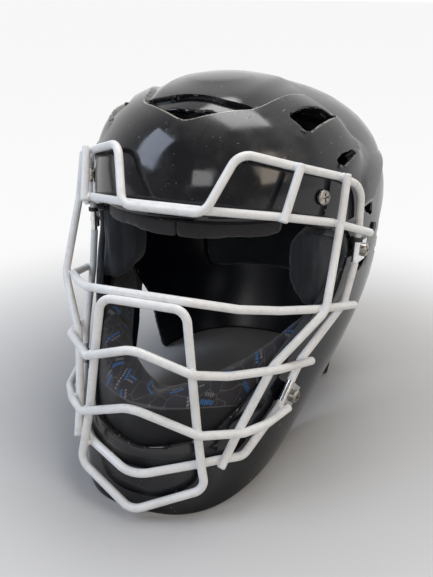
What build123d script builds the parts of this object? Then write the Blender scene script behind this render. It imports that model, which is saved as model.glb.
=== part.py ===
"""Catcher helmet: a hard front shell, a sprung back plate, a welded wire cage and its pads."""
from build123d import *
from math import cos, pi, radians, sin
import os

os.makedirs("parts", exist_ok=True)

# Shell: millimetres, X to the wearer's left, Y to the back, Z up from the rim it stands on
shell_height = 249.0
shell_half_width = 110.0
half_length = 160.6
shell_wall = 4.0
panel_rise = 2.5
rim_overrun = 20.0
cut_overrun = 60.0
corner_radius = 6.0

# Back plate
plate_wall = 3.5
plate_gap = 2.8
plate_seam = 4.0

# Wire cage
wire_diameter = 5.5
weld_sink = 0.06
wire_overhang = 6.0
wire_trim = 2.6
wire_end_radius = 1.2
wire_coat = 1.1

# Clips that hold the cage
clip_length = 15.0
clip_sheet = 0.7
clip_play = 0.05
clip_tab_reach = 9.6
clip_screw_diameter = 4.0
clip_head_diameter = 9.6
clip_head_height = 3.2
clip_boss_diameter = 12.0
clip_boss_depth = 12.0
clip_nut_depth = 11.5
collar_length = 3.0
collar_diameter = 7.6

# Screws at the temples, and the recess that all screw heads share
temple_screw_diameter = 5.0
temple_head_diameter = 10.5
temple_head_height = 2.6
temple_boss_diameter = 14.0
temple_boss_rise = 3.2
temple_nut_depth = 8.8
screw_recess_share = 0.55
screw_dome_share = 0.6
recess_width = 1.2
recess_depth = 1.4
nut_height = 3.0
nut_across = 8.0
hole_play = 0.15

# Elastic straps and the rivets at their ends
strap_width = 20.0
strap_thickness = 1.6
strap_play = 0.35
rivet_diameter = 3.2
rivet_head_diameter = 7.0
rivet_head_height = 1.2
rivet_seat_rise = 0.35
rivet_grip_play = 0.4

# Pads: how far each stands in from the shell
pad_play = 0.5
jaw_pad_play = 1.6
brow_pad_thickness = 13.0
cheek_pad_thickness = 26.0
temple_pad_thickness = 13.0
jaw_pad_thickness = 45.0
crown_pad_thickness = 12.0
rear_pad_thickness = 14.0
crown_pad_half_width = 34.0
crown_pad_half_length = 46.0
crown_pad_place = 14.0
pocket_play = 1.2

# Height, half width, front, widest and rear place, each as a share of its own driving size,
# then how full the front and the rear of the outline are
shell_level_shares = [
    (0.000, 0.618, -0.928, 0.000, 0.6974, 2.8, 2.4),
    (0.096, 0.718, -0.922, 0.062, 0.7970, 2.3, 2.4),
    (0.201, 0.827, -0.897, 0.156, 0.8966, 1.9, 2.3),
    (0.321, 0.918, -0.866, 0.280, 0.9776, 1.6, 2.2),
    (0.442, 0.973, -0.735, 0.361, 1.0212, 1.7, 2.1),
    (0.570, 0.991, -0.573, 0.411, 1.0423, 1.85, 2.0),
    (0.707, 0.973, -0.511, 0.411, 1.0149, 2.0, 2.0),
    (0.827, 0.873, -0.461, 0.361, 0.9215, 2.1, 2.0),
    (0.916, 0.673, -0.374, 0.262, 0.7597, 2.1, 2.0),
    (0.972, 0.409, -0.249, 0.149, 0.5106, 2.0, 2.0),
    (1.000, 0.155, -0.100, 0.050, 0.2117, 2.0, 2.0),
]
# The back plate keeps its width down to the rim, where the front shell draws in
plate_low_level_shares = [
    (0.000, 0.790, -0.928, 0.100, 0.8200, 2.8, 2.4),
    (0.120, 0.816, -0.922, 0.120, 0.9000, 2.3, 2.4),
    (0.245, 0.832, -0.897, 0.200, 0.9560, 1.9, 2.3),
]
outline_steps = 12

# Side outline of the front shell, as shares of the half length and the height
shell_side_shares = [
    (-1.15, -0.12), (-0.25, -0.12), (-0.25, 0.00004), (-0.125, 0.032), (0.187, 0.161),
    (0.374, 0.265), (0.374, 0.570), (0.747, 0.803), (1.245, 0.863), (1.245, 1.20), (-1.15, 1.20),
]
# Face opening seen from the front, as shares of the half width and the height
face_opening_shares = [
    (0.0, 0.189), (0.364, 0.201), (0.545, 0.281), (0.782, 0.434),
    (0.880, 0.540), (0.860, 0.610), (0.636, 0.695), (0.0, 0.705),
]
# Raised panels: the brow panel behind its pointed lip and the crown panel seen from above,
# the rear panel seen from the side
brow_panel_shares = [
    (0.0, -0.374), (0.155, -0.305), (0.318, -0.218), (0.400, -0.062), (0.464, 0.056),
    (1.25, 0.056), (1.25, -1.15), (0.0, -1.15),
]
crown_panel_shares = [(0.0, -0.230), (0.300, -0.210), (0.330, 0.300), (0.0, 0.340)]
rear_panel_shares = [(0.110, 0.800), (0.300, 0.775), (0.380, 0.640), (0.120, 0.650)]
brow_panel_foot_share = 0.640
# Openings: seen from above, then seen from the side
crown_slot_shares = [(0.0, -0.400), (0.210, -0.312), (0.165, -0.285), (0.0, -0.318)]
crown_slot_foot_share = 0.80
side_vent_shares = [
    [(-0.118, 0.892), (-0.081, 0.932), (0.068, 0.920), (0.137, 0.900), (0.050, 0.884)],
    [(-0.081, 0.806), (-0.037, 0.820), (0.124, 0.808), (0.031, 0.794)],
    [(0.112, 0.628), (0.180, 0.628), (0.150, 0.662)],
    [(0.070, 0.472), (0.075, 0.502), (0.140, 0.534), (0.355, 0.460), (0.193, 0.468)],
]
side_vent_inner_shares = [0.36, 0.55, 0.55, 0.55]
side_vent_corner = 1.6

# Side outline of the back plate, on its own side of the seam
plate_side_shares = [
    (0.299, 0.265), (0.349, 0.161), (0.386, 0.0), (1.245, 0.0),
    (1.245, 0.8475), (0.7720, 0.7870), (0.3985, 0.554), (0.299, 0.554),
]
# Arch over the nape, seen from behind
nape_arch_shares = [(0.0, -0.060), (0.610, -0.060), (0.500, 0.040), (0.270, 0.105), (0.0, 0.115)]
# Slots across the back of the plate, on each side of the centre
plate_slot_height_shares = [0.355, 0.615]
plate_slot_place_share = 0.30
plate_slot_length_share = 0.32
plate_slot_depth_share = 0.60
plate_slot_width = 7.0

# Places of the cage wires, as shares of the half width, the half length and the height
cage_centre_share = 0.311
cage_reach_share = 1.245
wire_place_shares = {
    "brow_dip": (0.218, -0.567, 0.749),
    "crown_bend": (0.368, -0.447, 0.878),
    "strut_top": (0.629, -0.321, 0.835),
    "side_wire_top": (0.832, -0.115, 0.783),
    "temple_bend": (0.940, 0.006, 0.739),
    "brow_bar_end": (0.940, 0.006, 0.614),
    "upper_clip_end": (0.933, -0.012, 0.516),
    "eye_bar_end": (0.902, -0.089, 0.415),
    "upper_mouth_end": (0.739, -0.375, 0.319),
    "lower_mouth_end": (0.661, -0.514, 0.213),
    "jaw_bend": (0.540, -0.720, 0.136),
    "side_wire_foot": (0.431, -0.794, 0.145),
    "loop_foot": (0.345, -0.852, 0.149),
    "chin": (0.000, -0.971, 0.128),
    "strut_foot": (0.586, -0.416, 0.721),
    "brow_side_crossing": (0.829, -0.178, 0.669),
    "loop_top": (0.255, -0.804, 0.553),
    "eye_centre": (0.236, -0.775, 0.566),
    "eye_inner_bend": (0.473, -0.648, 0.526),
    "eye_outer_bend": (0.650, -0.512, 0.496),
    "eye_side_crossing": (0.824, -0.356, 0.468),
    "loop_upper_crossing": (0.295, -0.832, 0.406),
    "loop_lower_crossing": (0.336, -0.857, 0.249),
    "loop_corner": (0.397, -0.888, 0.094),
    "loop_apex": (0.000, -0.990, 0.030),
    "upper_mouth_centre": (0.000, -0.908, 0.464),
    "upper_mouth_bend": (0.457, -0.735, 0.369),
    "upper_side_crossing": (0.638, -0.556, 0.351),
    "lower_mouth_centre": (0.000, -0.952, 0.320),
    "lower_side_crossing": (0.518, -0.722, 0.217),
    "lower_mouth_bend": (0.650, -0.651, 0.217),
}

# Each wire: its places in order from the centre or the top, the layers that it stands out
# over the wire it crosses there, and its bend radius in wire diameters
frame_route = [
    ("brow_dip", 1.18, 1.8), ("crown_bend", 0, 2.4), ("strut_top", 0, 2), ("side_wire_top", 0, 3),
    ("temple_bend", 0, 3), ("brow_bar_end", 0, 2), ("upper_clip_end", 0, 2),
    ("eye_bar_end", 0, 2), ("upper_mouth_end", 0, 2), ("lower_mouth_end", 0, 2),
    ("jaw_bend", 0, 2), ("side_wire_foot", 0, 2), ("loop_foot", 0, 2), ("chin", 0, 4),
]
brow_bar_route = [
    ("brow_dip", 0, 2), ("strut_foot", 0, 2), ("brow_side_crossing", 0, 2),
    ("brow_bar_end", 1, 0),
]
eye_bar_route = [
    ("eye_centre", 0, 2), ("eye_inner_bend", 0, 3), ("eye_outer_bend", 0, 3),
    ("eye_side_crossing", 0, 2), ("eye_bar_end", 1, 0),
]
mouth_loop_route = [
    ("loop_top", 0, 1.6), ("loop_upper_crossing", 0, 2), ("loop_lower_crossing", 0, 2),
    ("loop_foot", 1, 2), ("loop_corner", 0, 1.6), ("loop_apex", 0, 2.4),
]
upper_mouth_route = [
    ("upper_mouth_centre", 0, 3), ("loop_upper_crossing", 1.12, 2), ("upper_mouth_bend", 0, 3),
    ("upper_side_crossing", 1, 2), ("upper_mouth_end", 1, 0),
]
lower_mouth_route = [
    ("lower_mouth_centre", 0, 3), ("loop_lower_crossing", 1.08, 2), ("lower_side_crossing", 1, 2),
    ("lower_mouth_bend", 0, 2), ("lower_mouth_end", 1, 0),
]
side_wire_route = [
    ("side_wire_top", 1, 0), ("brow_side_crossing", 1, 2), ("eye_side_crossing", 1, 3),
    ("upper_side_crossing", 0, 2), ("lower_side_crossing", 0, 2), ("side_wire_foot", 1, 0),
]
brow_strut_route = [("strut_top", 1, 0), ("strut_foot", 1, 0)]

# Where each clip sits between two places of the frame wire, and which way it faces
upper_clip_share = 0.62
lower_clip_share = 0.66
upper_clip_facing = (0.98, -0.12, 0.0)
lower_clip_facing = (0.965, -0.241, -0.103)

# Places on the shell, as the angle in degrees from the front and a share of the height
rear_angle = 180.0
temple_screw_angle = 50.0
temple_screw_height_share = 0.735
strap_height_share = 0.574
shell_rivet_angle = 81.0
plate_rivet_angle = 104.0
strap_front_share = 0.21
strap_rear_share = 0.60
top_strap_foot_share = 0.735
top_strap_head_share = 0.905
plate_top_rivet_share = 0.762
shell_top_rivet_share = 0.878

# Pads: stations as angle in degrees, lower edge, upper edge and thickness, the last three
# as shares of the height and of the pad's own thickness
brow_pad_shares = [
    (3.5, 0.690, 0.800, 0.62), (7.0, 0.670, 0.818, 0.96), (22.0, 0.662, 0.822, 1.0),
    (34.0, 0.672, 0.820, 0.96), (39.0, 0.690, 0.802, 0.60),
]
cheek_pad_shares = [
    (55.5, 0.440, 0.610, 0.86), (58.0, 0.425, 0.630, 1.0), (64.0, 0.425, 0.630, 0.98),
    (66.5, 0.440, 0.610, 0.72),
]
temple_pad_shares = [
    (58.0, 0.668, 0.760, 0.55), (61.0, 0.650, 0.775, 0.95), (74.0, 0.645, 0.780, 1.0),
    (83.0, 0.650, 0.775, 0.95), (86.0, 0.665, 0.760, 0.55),
]
jaw_pad_shares = [
    (-84.0, 0.290, 0.385, 0.20), (-79.0, 0.265, 0.400, 0.34), (-70.0, 0.235, 0.392, 0.40),
    (-58.0, 0.205, 0.365, 0.44), (-42.0, 0.182, 0.330, 0.54), (-20.0, 0.170, 0.292, 0.84),
    (0.0, 0.168, 0.284, 1.0), (20.0, 0.170, 0.292, 0.84), (42.0, 0.182, 0.330, 0.54),
    (58.0, 0.205, 0.365, 0.44), (70.0, 0.235, 0.392, 0.40), (79.0, 0.265, 0.400, 0.34),
    (84.0, 0.290, 0.385, 0.20),
]
rear_upper_pad_shares = [
    (138.0, 0.555, 0.660, 0.55), (143.0, 0.540, 0.680, 0.95), (162.0, 0.530, 0.700, 1.0),
    (180.0, 0.530, 0.700, 1.0), (198.0, 0.530, 0.700, 1.0), (217.0, 0.540, 0.680, 0.95),
    (222.0, 0.555, 0.660, 0.55),
]
rear_lower_pad_shares = [
    (140.0, 0.270, 0.440, 0.55), (145.0, 0.255, 0.460, 0.95), (162.0, 0.245, 0.470, 1.0),
    (180.0, 0.245, 0.470, 1.0), (198.0, 0.245, 0.470, 1.0), (215.0, 0.255, 0.460, 0.95),
    (220.0, 0.270, 0.440, 0.55),
]
# How far a pad's faces draw in: corner depth, corner height and the swell of its crown
pad_corner_depth_share = 0.74
pad_corner_height_share = 0.40
pad_bulge_depth_share = 0.46
pad_bulge_height_share = 0.482
crown_station_shares = [-1.0, -0.86, 0.0, 0.86, 1.0]
crown_station_thickness_shares = [0.5, 0.92, 1.0, 0.92, 0.5]
crown_side_swell_share = 0.2
crown_foot_share = 0.94

# How small a step along the shell finds the way it faces, and how its ceiling is searched
normal_step_share = 0.01
ceiling_foot_share = 0.4
ceiling_steps = 20


def outline_place(values, angle, grow):
    """The plan place at an angle from the front centre, grown outwards by a length."""
    half_width = values[1] * shell_half_width + grow
    widest = values[3] * half_length
    front_reach = widest - values[2] * half_length + grow
    rear_reach = values[4] * half_length - widest + grow
    across, along = sin(angle), cos(angle)
    fullness = values[5] if along > 0 else values[6]
    size = (abs(across) ** fullness + abs(along) ** fullness) ** (-1 / fullness)
    reach = front_reach if along > 0 else rear_reach
    return Vector(half_width * across * size, widest - reach * along * size)


def level_slope(levels, index):
    """How fast the outline values change with the height at a level."""
    before, after = levels[max(index - 1, 0)], levels[min(index + 1, len(levels) - 1)]
    return [(high - low) / (after[0] - before[0]) for low, high in zip(before, after)]


def level_values(levels, height_share):
    """The outline values at a height, on a smooth curve through the levels."""
    index = sum(1 for level in levels[1:-1] if level[0] <= height_share)
    lower, upper = levels[index], levels[index + 1]
    span = upper[0] - lower[0]
    part = (height_share - lower[0]) / span
    weights = (
        (1 + 2 * part) * (1 - part) ** 2,
        part**2 * (3 - 2 * part),
        span * part * (1 - part) ** 2,
        span * part**2 * (part - 1),
    )
    columns = zip(lower, upper, level_slope(levels, index), level_slope(levels, index + 1))
    return [sum(weight * value for weight, value in zip(weights, column)) for column in columns]


def surface_place(levels, angle, height_share, grow):
    """A place on a shell's face, grown outwards by a length."""
    place = outline_place(level_values(levels, height_share), angle, grow)
    return Vector(place.X, place.Y, height_share * (shell_height + grow))


def ceiling_height(across, along, grow):
    """How high the front shell's face stands over a plan place."""
    low_share, high_share = ceiling_foot_share, 1
    for step in range(ceiling_steps):
        middle_share = (low_share + high_share) / 2
        values = level_values(shell_level_shares, middle_share)
        widest = values[3] * half_length
        ahead = along < widest
        reach = abs((values[2] if ahead else values[4]) * half_length - widest) + grow
        fullness = values[5] if ahead else values[6]
        across_share = abs(across) / (values[1] * shell_half_width + grow)
        along_share = abs(along - widest) / reach
        if across_share**fullness + along_share**fullness < 1:
            low_share = middle_share
        else:
            high_share = middle_share
    return low_share * (shell_height + grow)


def surface_plane(levels, angle_degrees, height_share, grow):
    """The plane that touches a shell's face, with its normal outwards."""
    angle = radians(angle_degrees)
    place = surface_place(levels, angle, height_share, grow)
    beside = surface_place(levels, angle + normal_step_share, height_share, grow) - place
    above = surface_place(levels, angle, height_share + normal_step_share, grow) - place
    return Plane(place, x_dir=beside, z_dir=beside.cross(above))


def half_form(levels, grow, start=0.0):
    """The wearer's left half of a shell as one closed solid, grown by a length."""
    with BuildPart() as form:
        heights = [level[0] * (shell_height + grow) for level in levels]
        rows = list(zip(heights, levels))
        if start < 0:
            rows.insert(0, (start, levels[0]))
        for height, level in rows:
            with BuildSketch(Plane.XY.offset(height)):
                with BuildLine():
                    turns = [pi * step / outline_steps for step in range(outline_steps + 1)]
                    places = [outline_place(level, turn, grow) for turn in turns]
                    half = Spline(*places, tangents=[(1, 0), (-1, 0)], tangent_scalars=(1, 1))
                    Line(half @ 1, half @ 0)
                make_face()
        loft()
    return form.part


def side_points(shares):
    """Side outline points in millimetres."""
    return [(along * half_length, up * shell_height) for along, up in shares]


def plan_points(shares):
    """Plan outline points in millimetres."""
    return [(across * shell_half_width, along * half_length) for across, along in shares]


def wire_place(name, layer):
    """A place of a wire's middle line, moved out by whole wire layers."""
    across, along, up = wire_place_shares[name]
    place = Vector(across * shell_half_width, along * half_length, up * shell_height)
    lean = Vector(
        across / shell_half_width,
        (along - cage_centre_share) / (cage_reach_share**2 * half_length),
    )
    return place + lean.normalized() * layer * (wire_diameter - weld_sink)


def wire_end(route, end, inner, overhang):
    """The free end of an open wire, past the crossing where it stops."""
    last, before = wire_place(*route[end][:2]), wire_place(*route[inner][:2])
    return last + (last - before).normalized() * overhang


def mirrored(places):
    """The same places on the other side of the centre, in reverse order."""
    return [Vector(-place.X, place.Y, place.Z) for place in reversed(places)]


def bent_wire(points, bends, closed=False):
    """A round wire along straight runs and bends, with its open ends rounded off."""
    radii = [bend * wire_diameter for bend in bends]
    with BuildPart() as wire:
        with BuildLine():
            if len(points) > 2:
                path = FilletPolyline(*points, radius=radii, close=closed)
            else:
                path = Line(*points)
        first = path.edges()[0]
        with BuildSketch(Plane(origin=first @ 0, z_dir=first % 0)):
            Circle(wire_diameter / 2)
        sweep(path=Wire(path.edges()))
        if not closed:
            for place in (points[0], points[-1]):
                rim = wire.edges().filter_by(GeomType.CIRCLE).sort_by_distance(place)[0]
                fillet(rim, radius=wire_end_radius)
    return wire.part


def crossing_wire(route):
    """A wire that runs from one side of the cage through the centre to the other."""
    places = [wire_place(name, layer) for name, layer, bend in route[:-1]]
    places.append(wire_end(route, -1, -2, wire_overhang))
    bends = [bend for name, layer, bend in route[:-1]]
    if places[0].X > 0:
        return bent_wire(mirrored(places) + places, bends[::-1] + bends)
    return bent_wire(mirrored(places[1:]) + places, bends[:0:-1] + bends)


def looped_wire(route):
    """A closed wire loop, the same on both sides of the centre."""
    places = [wire_place(name, layer) for name, layer, bend in route]
    bends = [bend for name, layer, bend in route]
    return bent_wire(places + mirrored(places[:-1]), bends + bends[-2::-1], closed=True)


def side_wire(route, side):
    """An open wire on one side of the cage."""
    places = [wire_end(route, 0, 1, wire_trim)]
    places += [wire_place(name, layer) for name, layer, bend in route[1:-1]]
    places.append(wire_end(route, -1, -2, wire_trim))
    bends = [bend for name, layer, bend in route[1:-1]]
    return bent_wire([Vector(side * place.X, place.Y, place.Z) for place in places], bends)


def clip_frame(upper_name, lower_name, share, facing):
    """The plane across the frame wire at a clip, its X towards the screw."""
    upper, lower = wire_place(upper_name, 0), wire_place(lower_name, 0)
    along = (lower - upper).normalized()
    outward = Vector(*facing)
    reach = outward.cross(along)
    return Plane(upper + (lower - upper) * share, x_dir=reach, z_dir=along)


def clip_seat(frame):
    """The plane under a clip's tab where its screw goes in, its normal outwards."""
    outward = frame.z_dir.cross(frame.x_dir)
    place = frame.origin + frame.x_dir * clip_tab_reach + outward * (clip_radius - clip_sheet)
    return Plane(place, x_dir=frame.x_dir, z_dir=outward)


def screw(seat, diameter, head_diameter, head_height, length):
    """A domed screw on its seat, with a cross recess in its head."""
    with BuildPart() as body:
        with BuildSketch(seat):
            Circle(head_diameter / 2)
        extrude(amount=head_height)
        top = body.edges().filter_by(GeomType.CIRCLE).sort_by_distance(seat.origin)[-1]
        fillet(top, radius=head_height * screw_dome_share)
        with BuildSketch(seat.offset(head_height)):
            Rectangle(head_diameter * screw_recess_share, recess_width)
            Rectangle(recess_width, head_diameter * screw_recess_share)
        extrude(amount=-recess_depth, mode=Mode.SUBTRACT)
        with BuildSketch(seat):
            Circle(diameter / 2)
        extrude(amount=-length)
    return body.part


def nut(seat, diameter, depth):
    """A hexagon nut on the screw behind a seat, at a depth."""
    with BuildPart() as body:
        with BuildSketch(seat.offset(-depth)):
            RegularPolygon(nut_across / 2, 6, major_radius=False)
            Circle(diameter / 2 + hole_play, mode=Mode.SUBTRACT)
        extrude(amount=-nut_height)
    return body.part


def rivet_seat(angle_degrees, height_share, outer, inner):
    """The seat of a rivet's head, and how far off its tail head lies."""
    seat = surface_plane(shell_level_shares, angle_degrees, height_share, outer)
    far = surface_place(shell_level_shares, radians(angle_degrees), height_share, inner)
    grip = (seat.origin - far).dot(seat.z_dir) + rivet_seat_rise + rivet_grip_play
    return seat.offset(rivet_seat_rise), grip


def rivet(seat, grip):
    """A flat rivet through a wall and a strap, its tail head on the far side."""
    with BuildPart() as body:
        for height in (0, -grip - rivet_head_height):
            with BuildSketch(seat.offset(height)):
                Circle(rivet_head_diameter / 2)
            extrude(amount=rivet_head_height)
        with BuildSketch(seat):
            Circle(rivet_diameter / 2)
        extrude(amount=-grip)
    return body.part


def post(seat, diameter, rise, depth):
    """A round solid that stands on a seat and reaches back behind it."""
    with BuildPart() as body:
        with BuildSketch(seat.offset(rise)):
            Circle(diameter / 2)
        extrude(amount=-rise - depth)
    return body.part


def pad(levels, grow, stations, thickness):
    """A cushion along a shell's inner face, with a crown and drawn-in edges and ends."""
    with BuildPart() as cushion:
        for angle_degrees, low, high, share in stations:
            angle = radians(angle_degrees)
            bottom = surface_place(levels, angle, low, grow)
            top = surface_place(levels, angle, high, grow)
            middle = (bottom + top) / 2
            facing = surface_plane(levels, angle_degrees, (low + high) / 2, grow).z_dir
            inward = Vector(-facing.X, -facing.Y, 0).normalized()
            upright = Vector(0, 0, 1)
            rise = (top.Z - bottom.Z) / 2
            lean = (top - bottom).dot(inward) / 2
            depth = thickness * share
            corner = (depth * pad_corner_depth_share, rise * 2 * pad_corner_height_share)
            bulge = (depth * pad_bulge_depth_share, rise * 2 * pad_bulge_height_share)
            with BuildSketch(Plane(middle, x_dir=inward, z_dir=inward.cross(upright))):
                with BuildLine():
                    Line((lean, rise), (-lean, -rise))
                    ThreePointArc((-lean, -rise), (bulge[0] - lean, -bulge[1]),
                                  (corner[0] - lean, -corner[1]))
                    ThreePointArc((corner[0] - lean, -corner[1]), (depth, 0),
                                  (corner[0] + lean, corner[1]))
                    ThreePointArc((corner[0] + lean, corner[1]), (bulge[0] + lean, bulge[1]),
                                  (lean, rise))
                make_face()
        loft()
    return cushion.part


def both_sides(half):
    """A half and its mirror image as one part."""
    with BuildPart() as whole:
        add(half)
        mirror(about=Plane.YZ)
    return whole.part


def write(solid, name):
    """Labels a finished piece and writes it to its own file."""
    solid.label = name
    export_step(solid, f"parts/{name}.step")


# Sizes that follow from the ones above
clip_radius = wire_diameter / 2 - wire_coat + clip_play + clip_sheet
core_radius = wire_diameter / 2 - wire_coat
clip_tab_length = clip_tab_reach + clip_boss_diameter / 2
plate_inset = shell_wall + plate_gap
strap_inset = shell_wall + strap_play
plate_levels = plate_low_level_shares + shell_level_shares[len(plate_low_level_shares):]
strap_height = strap_height_share * shell_height

# Places that several pieces share
upper_clip = clip_frame("brow_bar_end", "upper_clip_end", upper_clip_share, upper_clip_facing)
lower_clip = clip_frame("upper_mouth_end", "lower_mouth_end", lower_clip_share, lower_clip_facing)
clip_seats = [clip_seat(upper_clip), clip_seat(lower_clip)]
temple_seat = surface_plane(
    shell_level_shares, temple_screw_angle, temple_screw_height_share, 0
).offset(temple_boss_rise)
shell_rivet_seat, shell_grip = rivet_seat(
    shell_rivet_angle, strap_height_share, 0, -strap_inset - strap_thickness)
plate_rivet_seat, plate_grip = rivet_seat(
    plate_rivet_angle, strap_height_share, -strap_inset, -plate_inset - plate_wall)
shell_top_seat, shell_top_grip = rivet_seat(
    rear_angle, shell_top_rivet_share, 0, -strap_inset - strap_thickness)
plate_top_seat, plate_top_grip = rivet_seat(
    rear_angle, plate_top_rivet_share, -strap_inset, -plate_inset - plate_wall)

shell_outer = half_form(shell_level_shares, 0)
shell_raised = half_form(shell_level_shares, panel_rise)
shell_inner = half_form(shell_level_shares, -shell_wall, -rim_overrun)
strap_outer = half_form(shell_level_shares, -strap_inset)
strap_inner = half_form(shell_level_shares, -strap_inset - strap_thickness, -rim_overrun)
plate_outer = half_form(plate_levels, -plate_inset)
plate_inner = half_form(plate_levels, -plate_inset - plate_wall, -rim_overrun)

with BuildPart() as brow_panel:
    add(shell_raised)
    with BuildSketch(Plane.XY.offset(brow_panel_foot_share * shell_height)):
        with BuildLine():
            Polyline(*plan_points(brow_panel_shares), close=True)
        make_face()
    extrude(amount=shell_height, mode=Mode.INTERSECT)

with BuildPart() as crown_panel:
    add(shell_raised)
    with BuildSketch(Plane.XY.offset(brow_panel_foot_share * shell_height)):
        with BuildLine():
            Polyline(*plan_points(crown_panel_shares), close=True)
        make_face()
    extrude(amount=shell_height, mode=Mode.INTERSECT)

with BuildPart() as rear_panel:
    add(shell_raised)
    with BuildSketch(Plane.YZ):
        with BuildLine():
            FilletPolyline(*side_points(rear_panel_shares), radius=corner_radius, close=True)
        make_face()
    extrude(amount=shell_half_width + cut_overrun, mode=Mode.INTERSECT)

with BuildPart() as half_shell:
    add(shell_outer)
    add([brow_panel.part, crown_panel.part, rear_panel.part])
    for seat in clip_seats:
        add(post(seat, clip_boss_diameter, 0, clip_boss_depth))
    add(post(temple_seat, temple_boss_diameter, 0, shell_wall))
    add(shell_inner, mode=Mode.SUBTRACT)
    with BuildSketch(Plane.YZ):
        with BuildLine():
            FilletPolyline(*side_points(shell_side_shares), radius=corner_radius, close=True)
        make_face()
    extrude(amount=shell_half_width + cut_overrun, mode=Mode.INTERSECT)
    with BuildSketch(Plane.XZ):
        with BuildLine():
            edge = [(across * shell_half_width, up * shell_height)
                    for across, up in face_opening_shares]
            rim = FilletPolyline(*edge, radius=corner_radius)
            Line(rim @ 1, rim @ 0)
        make_face()
    extrude(amount=half_length + cut_overrun, mode=Mode.SUBTRACT)
    with BuildSketch(Plane.XY.offset(crown_slot_foot_share * shell_height)):
        with BuildLine():
            Polyline(*plan_points(crown_slot_shares), close=True)
        make_face()
    extrude(amount=shell_height, mode=Mode.SUBTRACT)
    for outline, inner_share in zip(side_vent_shares, side_vent_inner_shares):
        with BuildSketch(Plane.YZ.offset(inner_share * shell_half_width)):
            with BuildLine():
                FilletPolyline(*side_points(outline), radius=side_vent_corner, close=True)
            make_face()
        extrude(amount=shell_half_width, mode=Mode.SUBTRACT)
    for seat in clip_seats:
        add(post(seat, clip_screw_diameter + 2 * hole_play, rim_overrun, cut_overrun),
            mode=Mode.SUBTRACT)
    for seat, diameter in ((temple_seat, temple_screw_diameter), (shell_rivet_seat, rivet_diameter)):
        add(post(seat, diameter + 2 * hole_play, rim_overrun, cut_overrun), mode=Mode.SUBTRACT)
    add(post(shell_top_seat, rivet_diameter + 2 * hole_play, rim_overrun, rim_overrun),
        mode=Mode.SUBTRACT)
write(both_sides(half_shell.part), "front_shell")

with BuildPart() as half_plate:
    add(plate_outer)
    add(plate_inner, mode=Mode.SUBTRACT)
    with BuildSketch(Plane.YZ):
        with BuildLine():
            FilletPolyline(*side_points(plate_side_shares), radius=plate_seam, close=True)
        make_face()
    extrude(amount=shell_half_width + cut_overrun, mode=Mode.INTERSECT)
    with BuildSketch(Plane.XZ):
        with BuildLine():
            arch = [(across * shell_half_width, up * shell_height)
                    for across, up in nape_arch_shares]
            crown = FilletPolyline(*arch, radius=corner_radius)
            Line(crown @ 1, crown @ 0)
        make_face()
    extrude(amount=-half_length - cut_overrun, mode=Mode.SUBTRACT)
    for height_share in plate_slot_height_shares:
        with BuildSketch(Plane.XZ.offset(-plate_slot_depth_share * half_length)):
            with Locations((plate_slot_place_share * shell_half_width, height_share * shell_height)):
                SlotOverall(plate_slot_length_share * shell_half_width, plate_slot_width)
        extrude(amount=-half_length, mode=Mode.SUBTRACT)
    add(post(plate_rivet_seat, rivet_diameter + 2 * hole_play, rim_overrun, cut_overrun),
        mode=Mode.SUBTRACT)
    add(post(plate_top_seat, rivet_diameter + 2 * hole_play, rim_overrun, rim_overrun),
        mode=Mode.SUBTRACT)
write(both_sides(half_plate.part), "back_plate")

with BuildPart() as strap_layer:
    add(strap_outer)
    add(strap_inner, mode=Mode.SUBTRACT)

with BuildPart() as side_strap:
    add(strap_layer.part)
    with BuildSketch(Plane.YZ):
        with Locations(((strap_front_share + strap_rear_share) / 2 * half_length, strap_height)):
            Rectangle((strap_rear_share - strap_front_share) * half_length, strap_width)
    extrude(amount=shell_half_width, mode=Mode.INTERSECT)
    for seat in (shell_rivet_seat, plate_rivet_seat):
        add(post(seat, rivet_diameter + 2 * hole_play, rim_overrun, rim_overrun),
            mode=Mode.SUBTRACT)
write(side_strap.part, "side_strap_left")
write(side_strap.part.mirror(Plane.YZ), "side_strap_right")

with BuildPart() as half_top_strap:
    add(strap_layer.part)
    with BuildSketch(Plane.XZ):
        with Locations((0, (top_strap_foot_share + top_strap_head_share) / 2 * shell_height)):
            Rectangle(strap_width, (top_strap_head_share - top_strap_foot_share) * shell_height)
    extrude(amount=-half_length - cut_overrun, mode=Mode.INTERSECT)
    for seat in (shell_top_seat, plate_top_seat):
        add(post(seat, rivet_diameter + 2 * hole_play, rim_overrun, rim_overrun),
            mode=Mode.SUBTRACT)
write(both_sides(half_top_strap.part), "top_strap")

with BuildPart() as shell_rivets:
    add([rivet(shell_rivet_seat, shell_grip), rivet(shell_rivet_seat, shell_grip).mirror(Plane.YZ)])
    add(rivet(shell_top_seat, shell_top_grip))
write(shell_rivets.part, "strap_shell_rivets")

with BuildPart() as plate_rivets:
    add([rivet(plate_rivet_seat, plate_grip), rivet(plate_rivet_seat, plate_grip).mirror(Plane.YZ)])
    add(rivet(plate_top_seat, plate_top_grip))
write(plate_rivets.part, "strap_plate_rivets")

necks = []
for frame in (upper_clip, lower_clip):
    with BuildPart() as neck:
        with BuildSketch(frame.offset(-clip_length / 2)):
            Circle(wire_diameter)
            Circle(core_radius, mode=Mode.SUBTRACT)
        extrude(amount=clip_length)
    necks += [neck.part, neck.part.mirror(Plane.YZ)]

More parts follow.
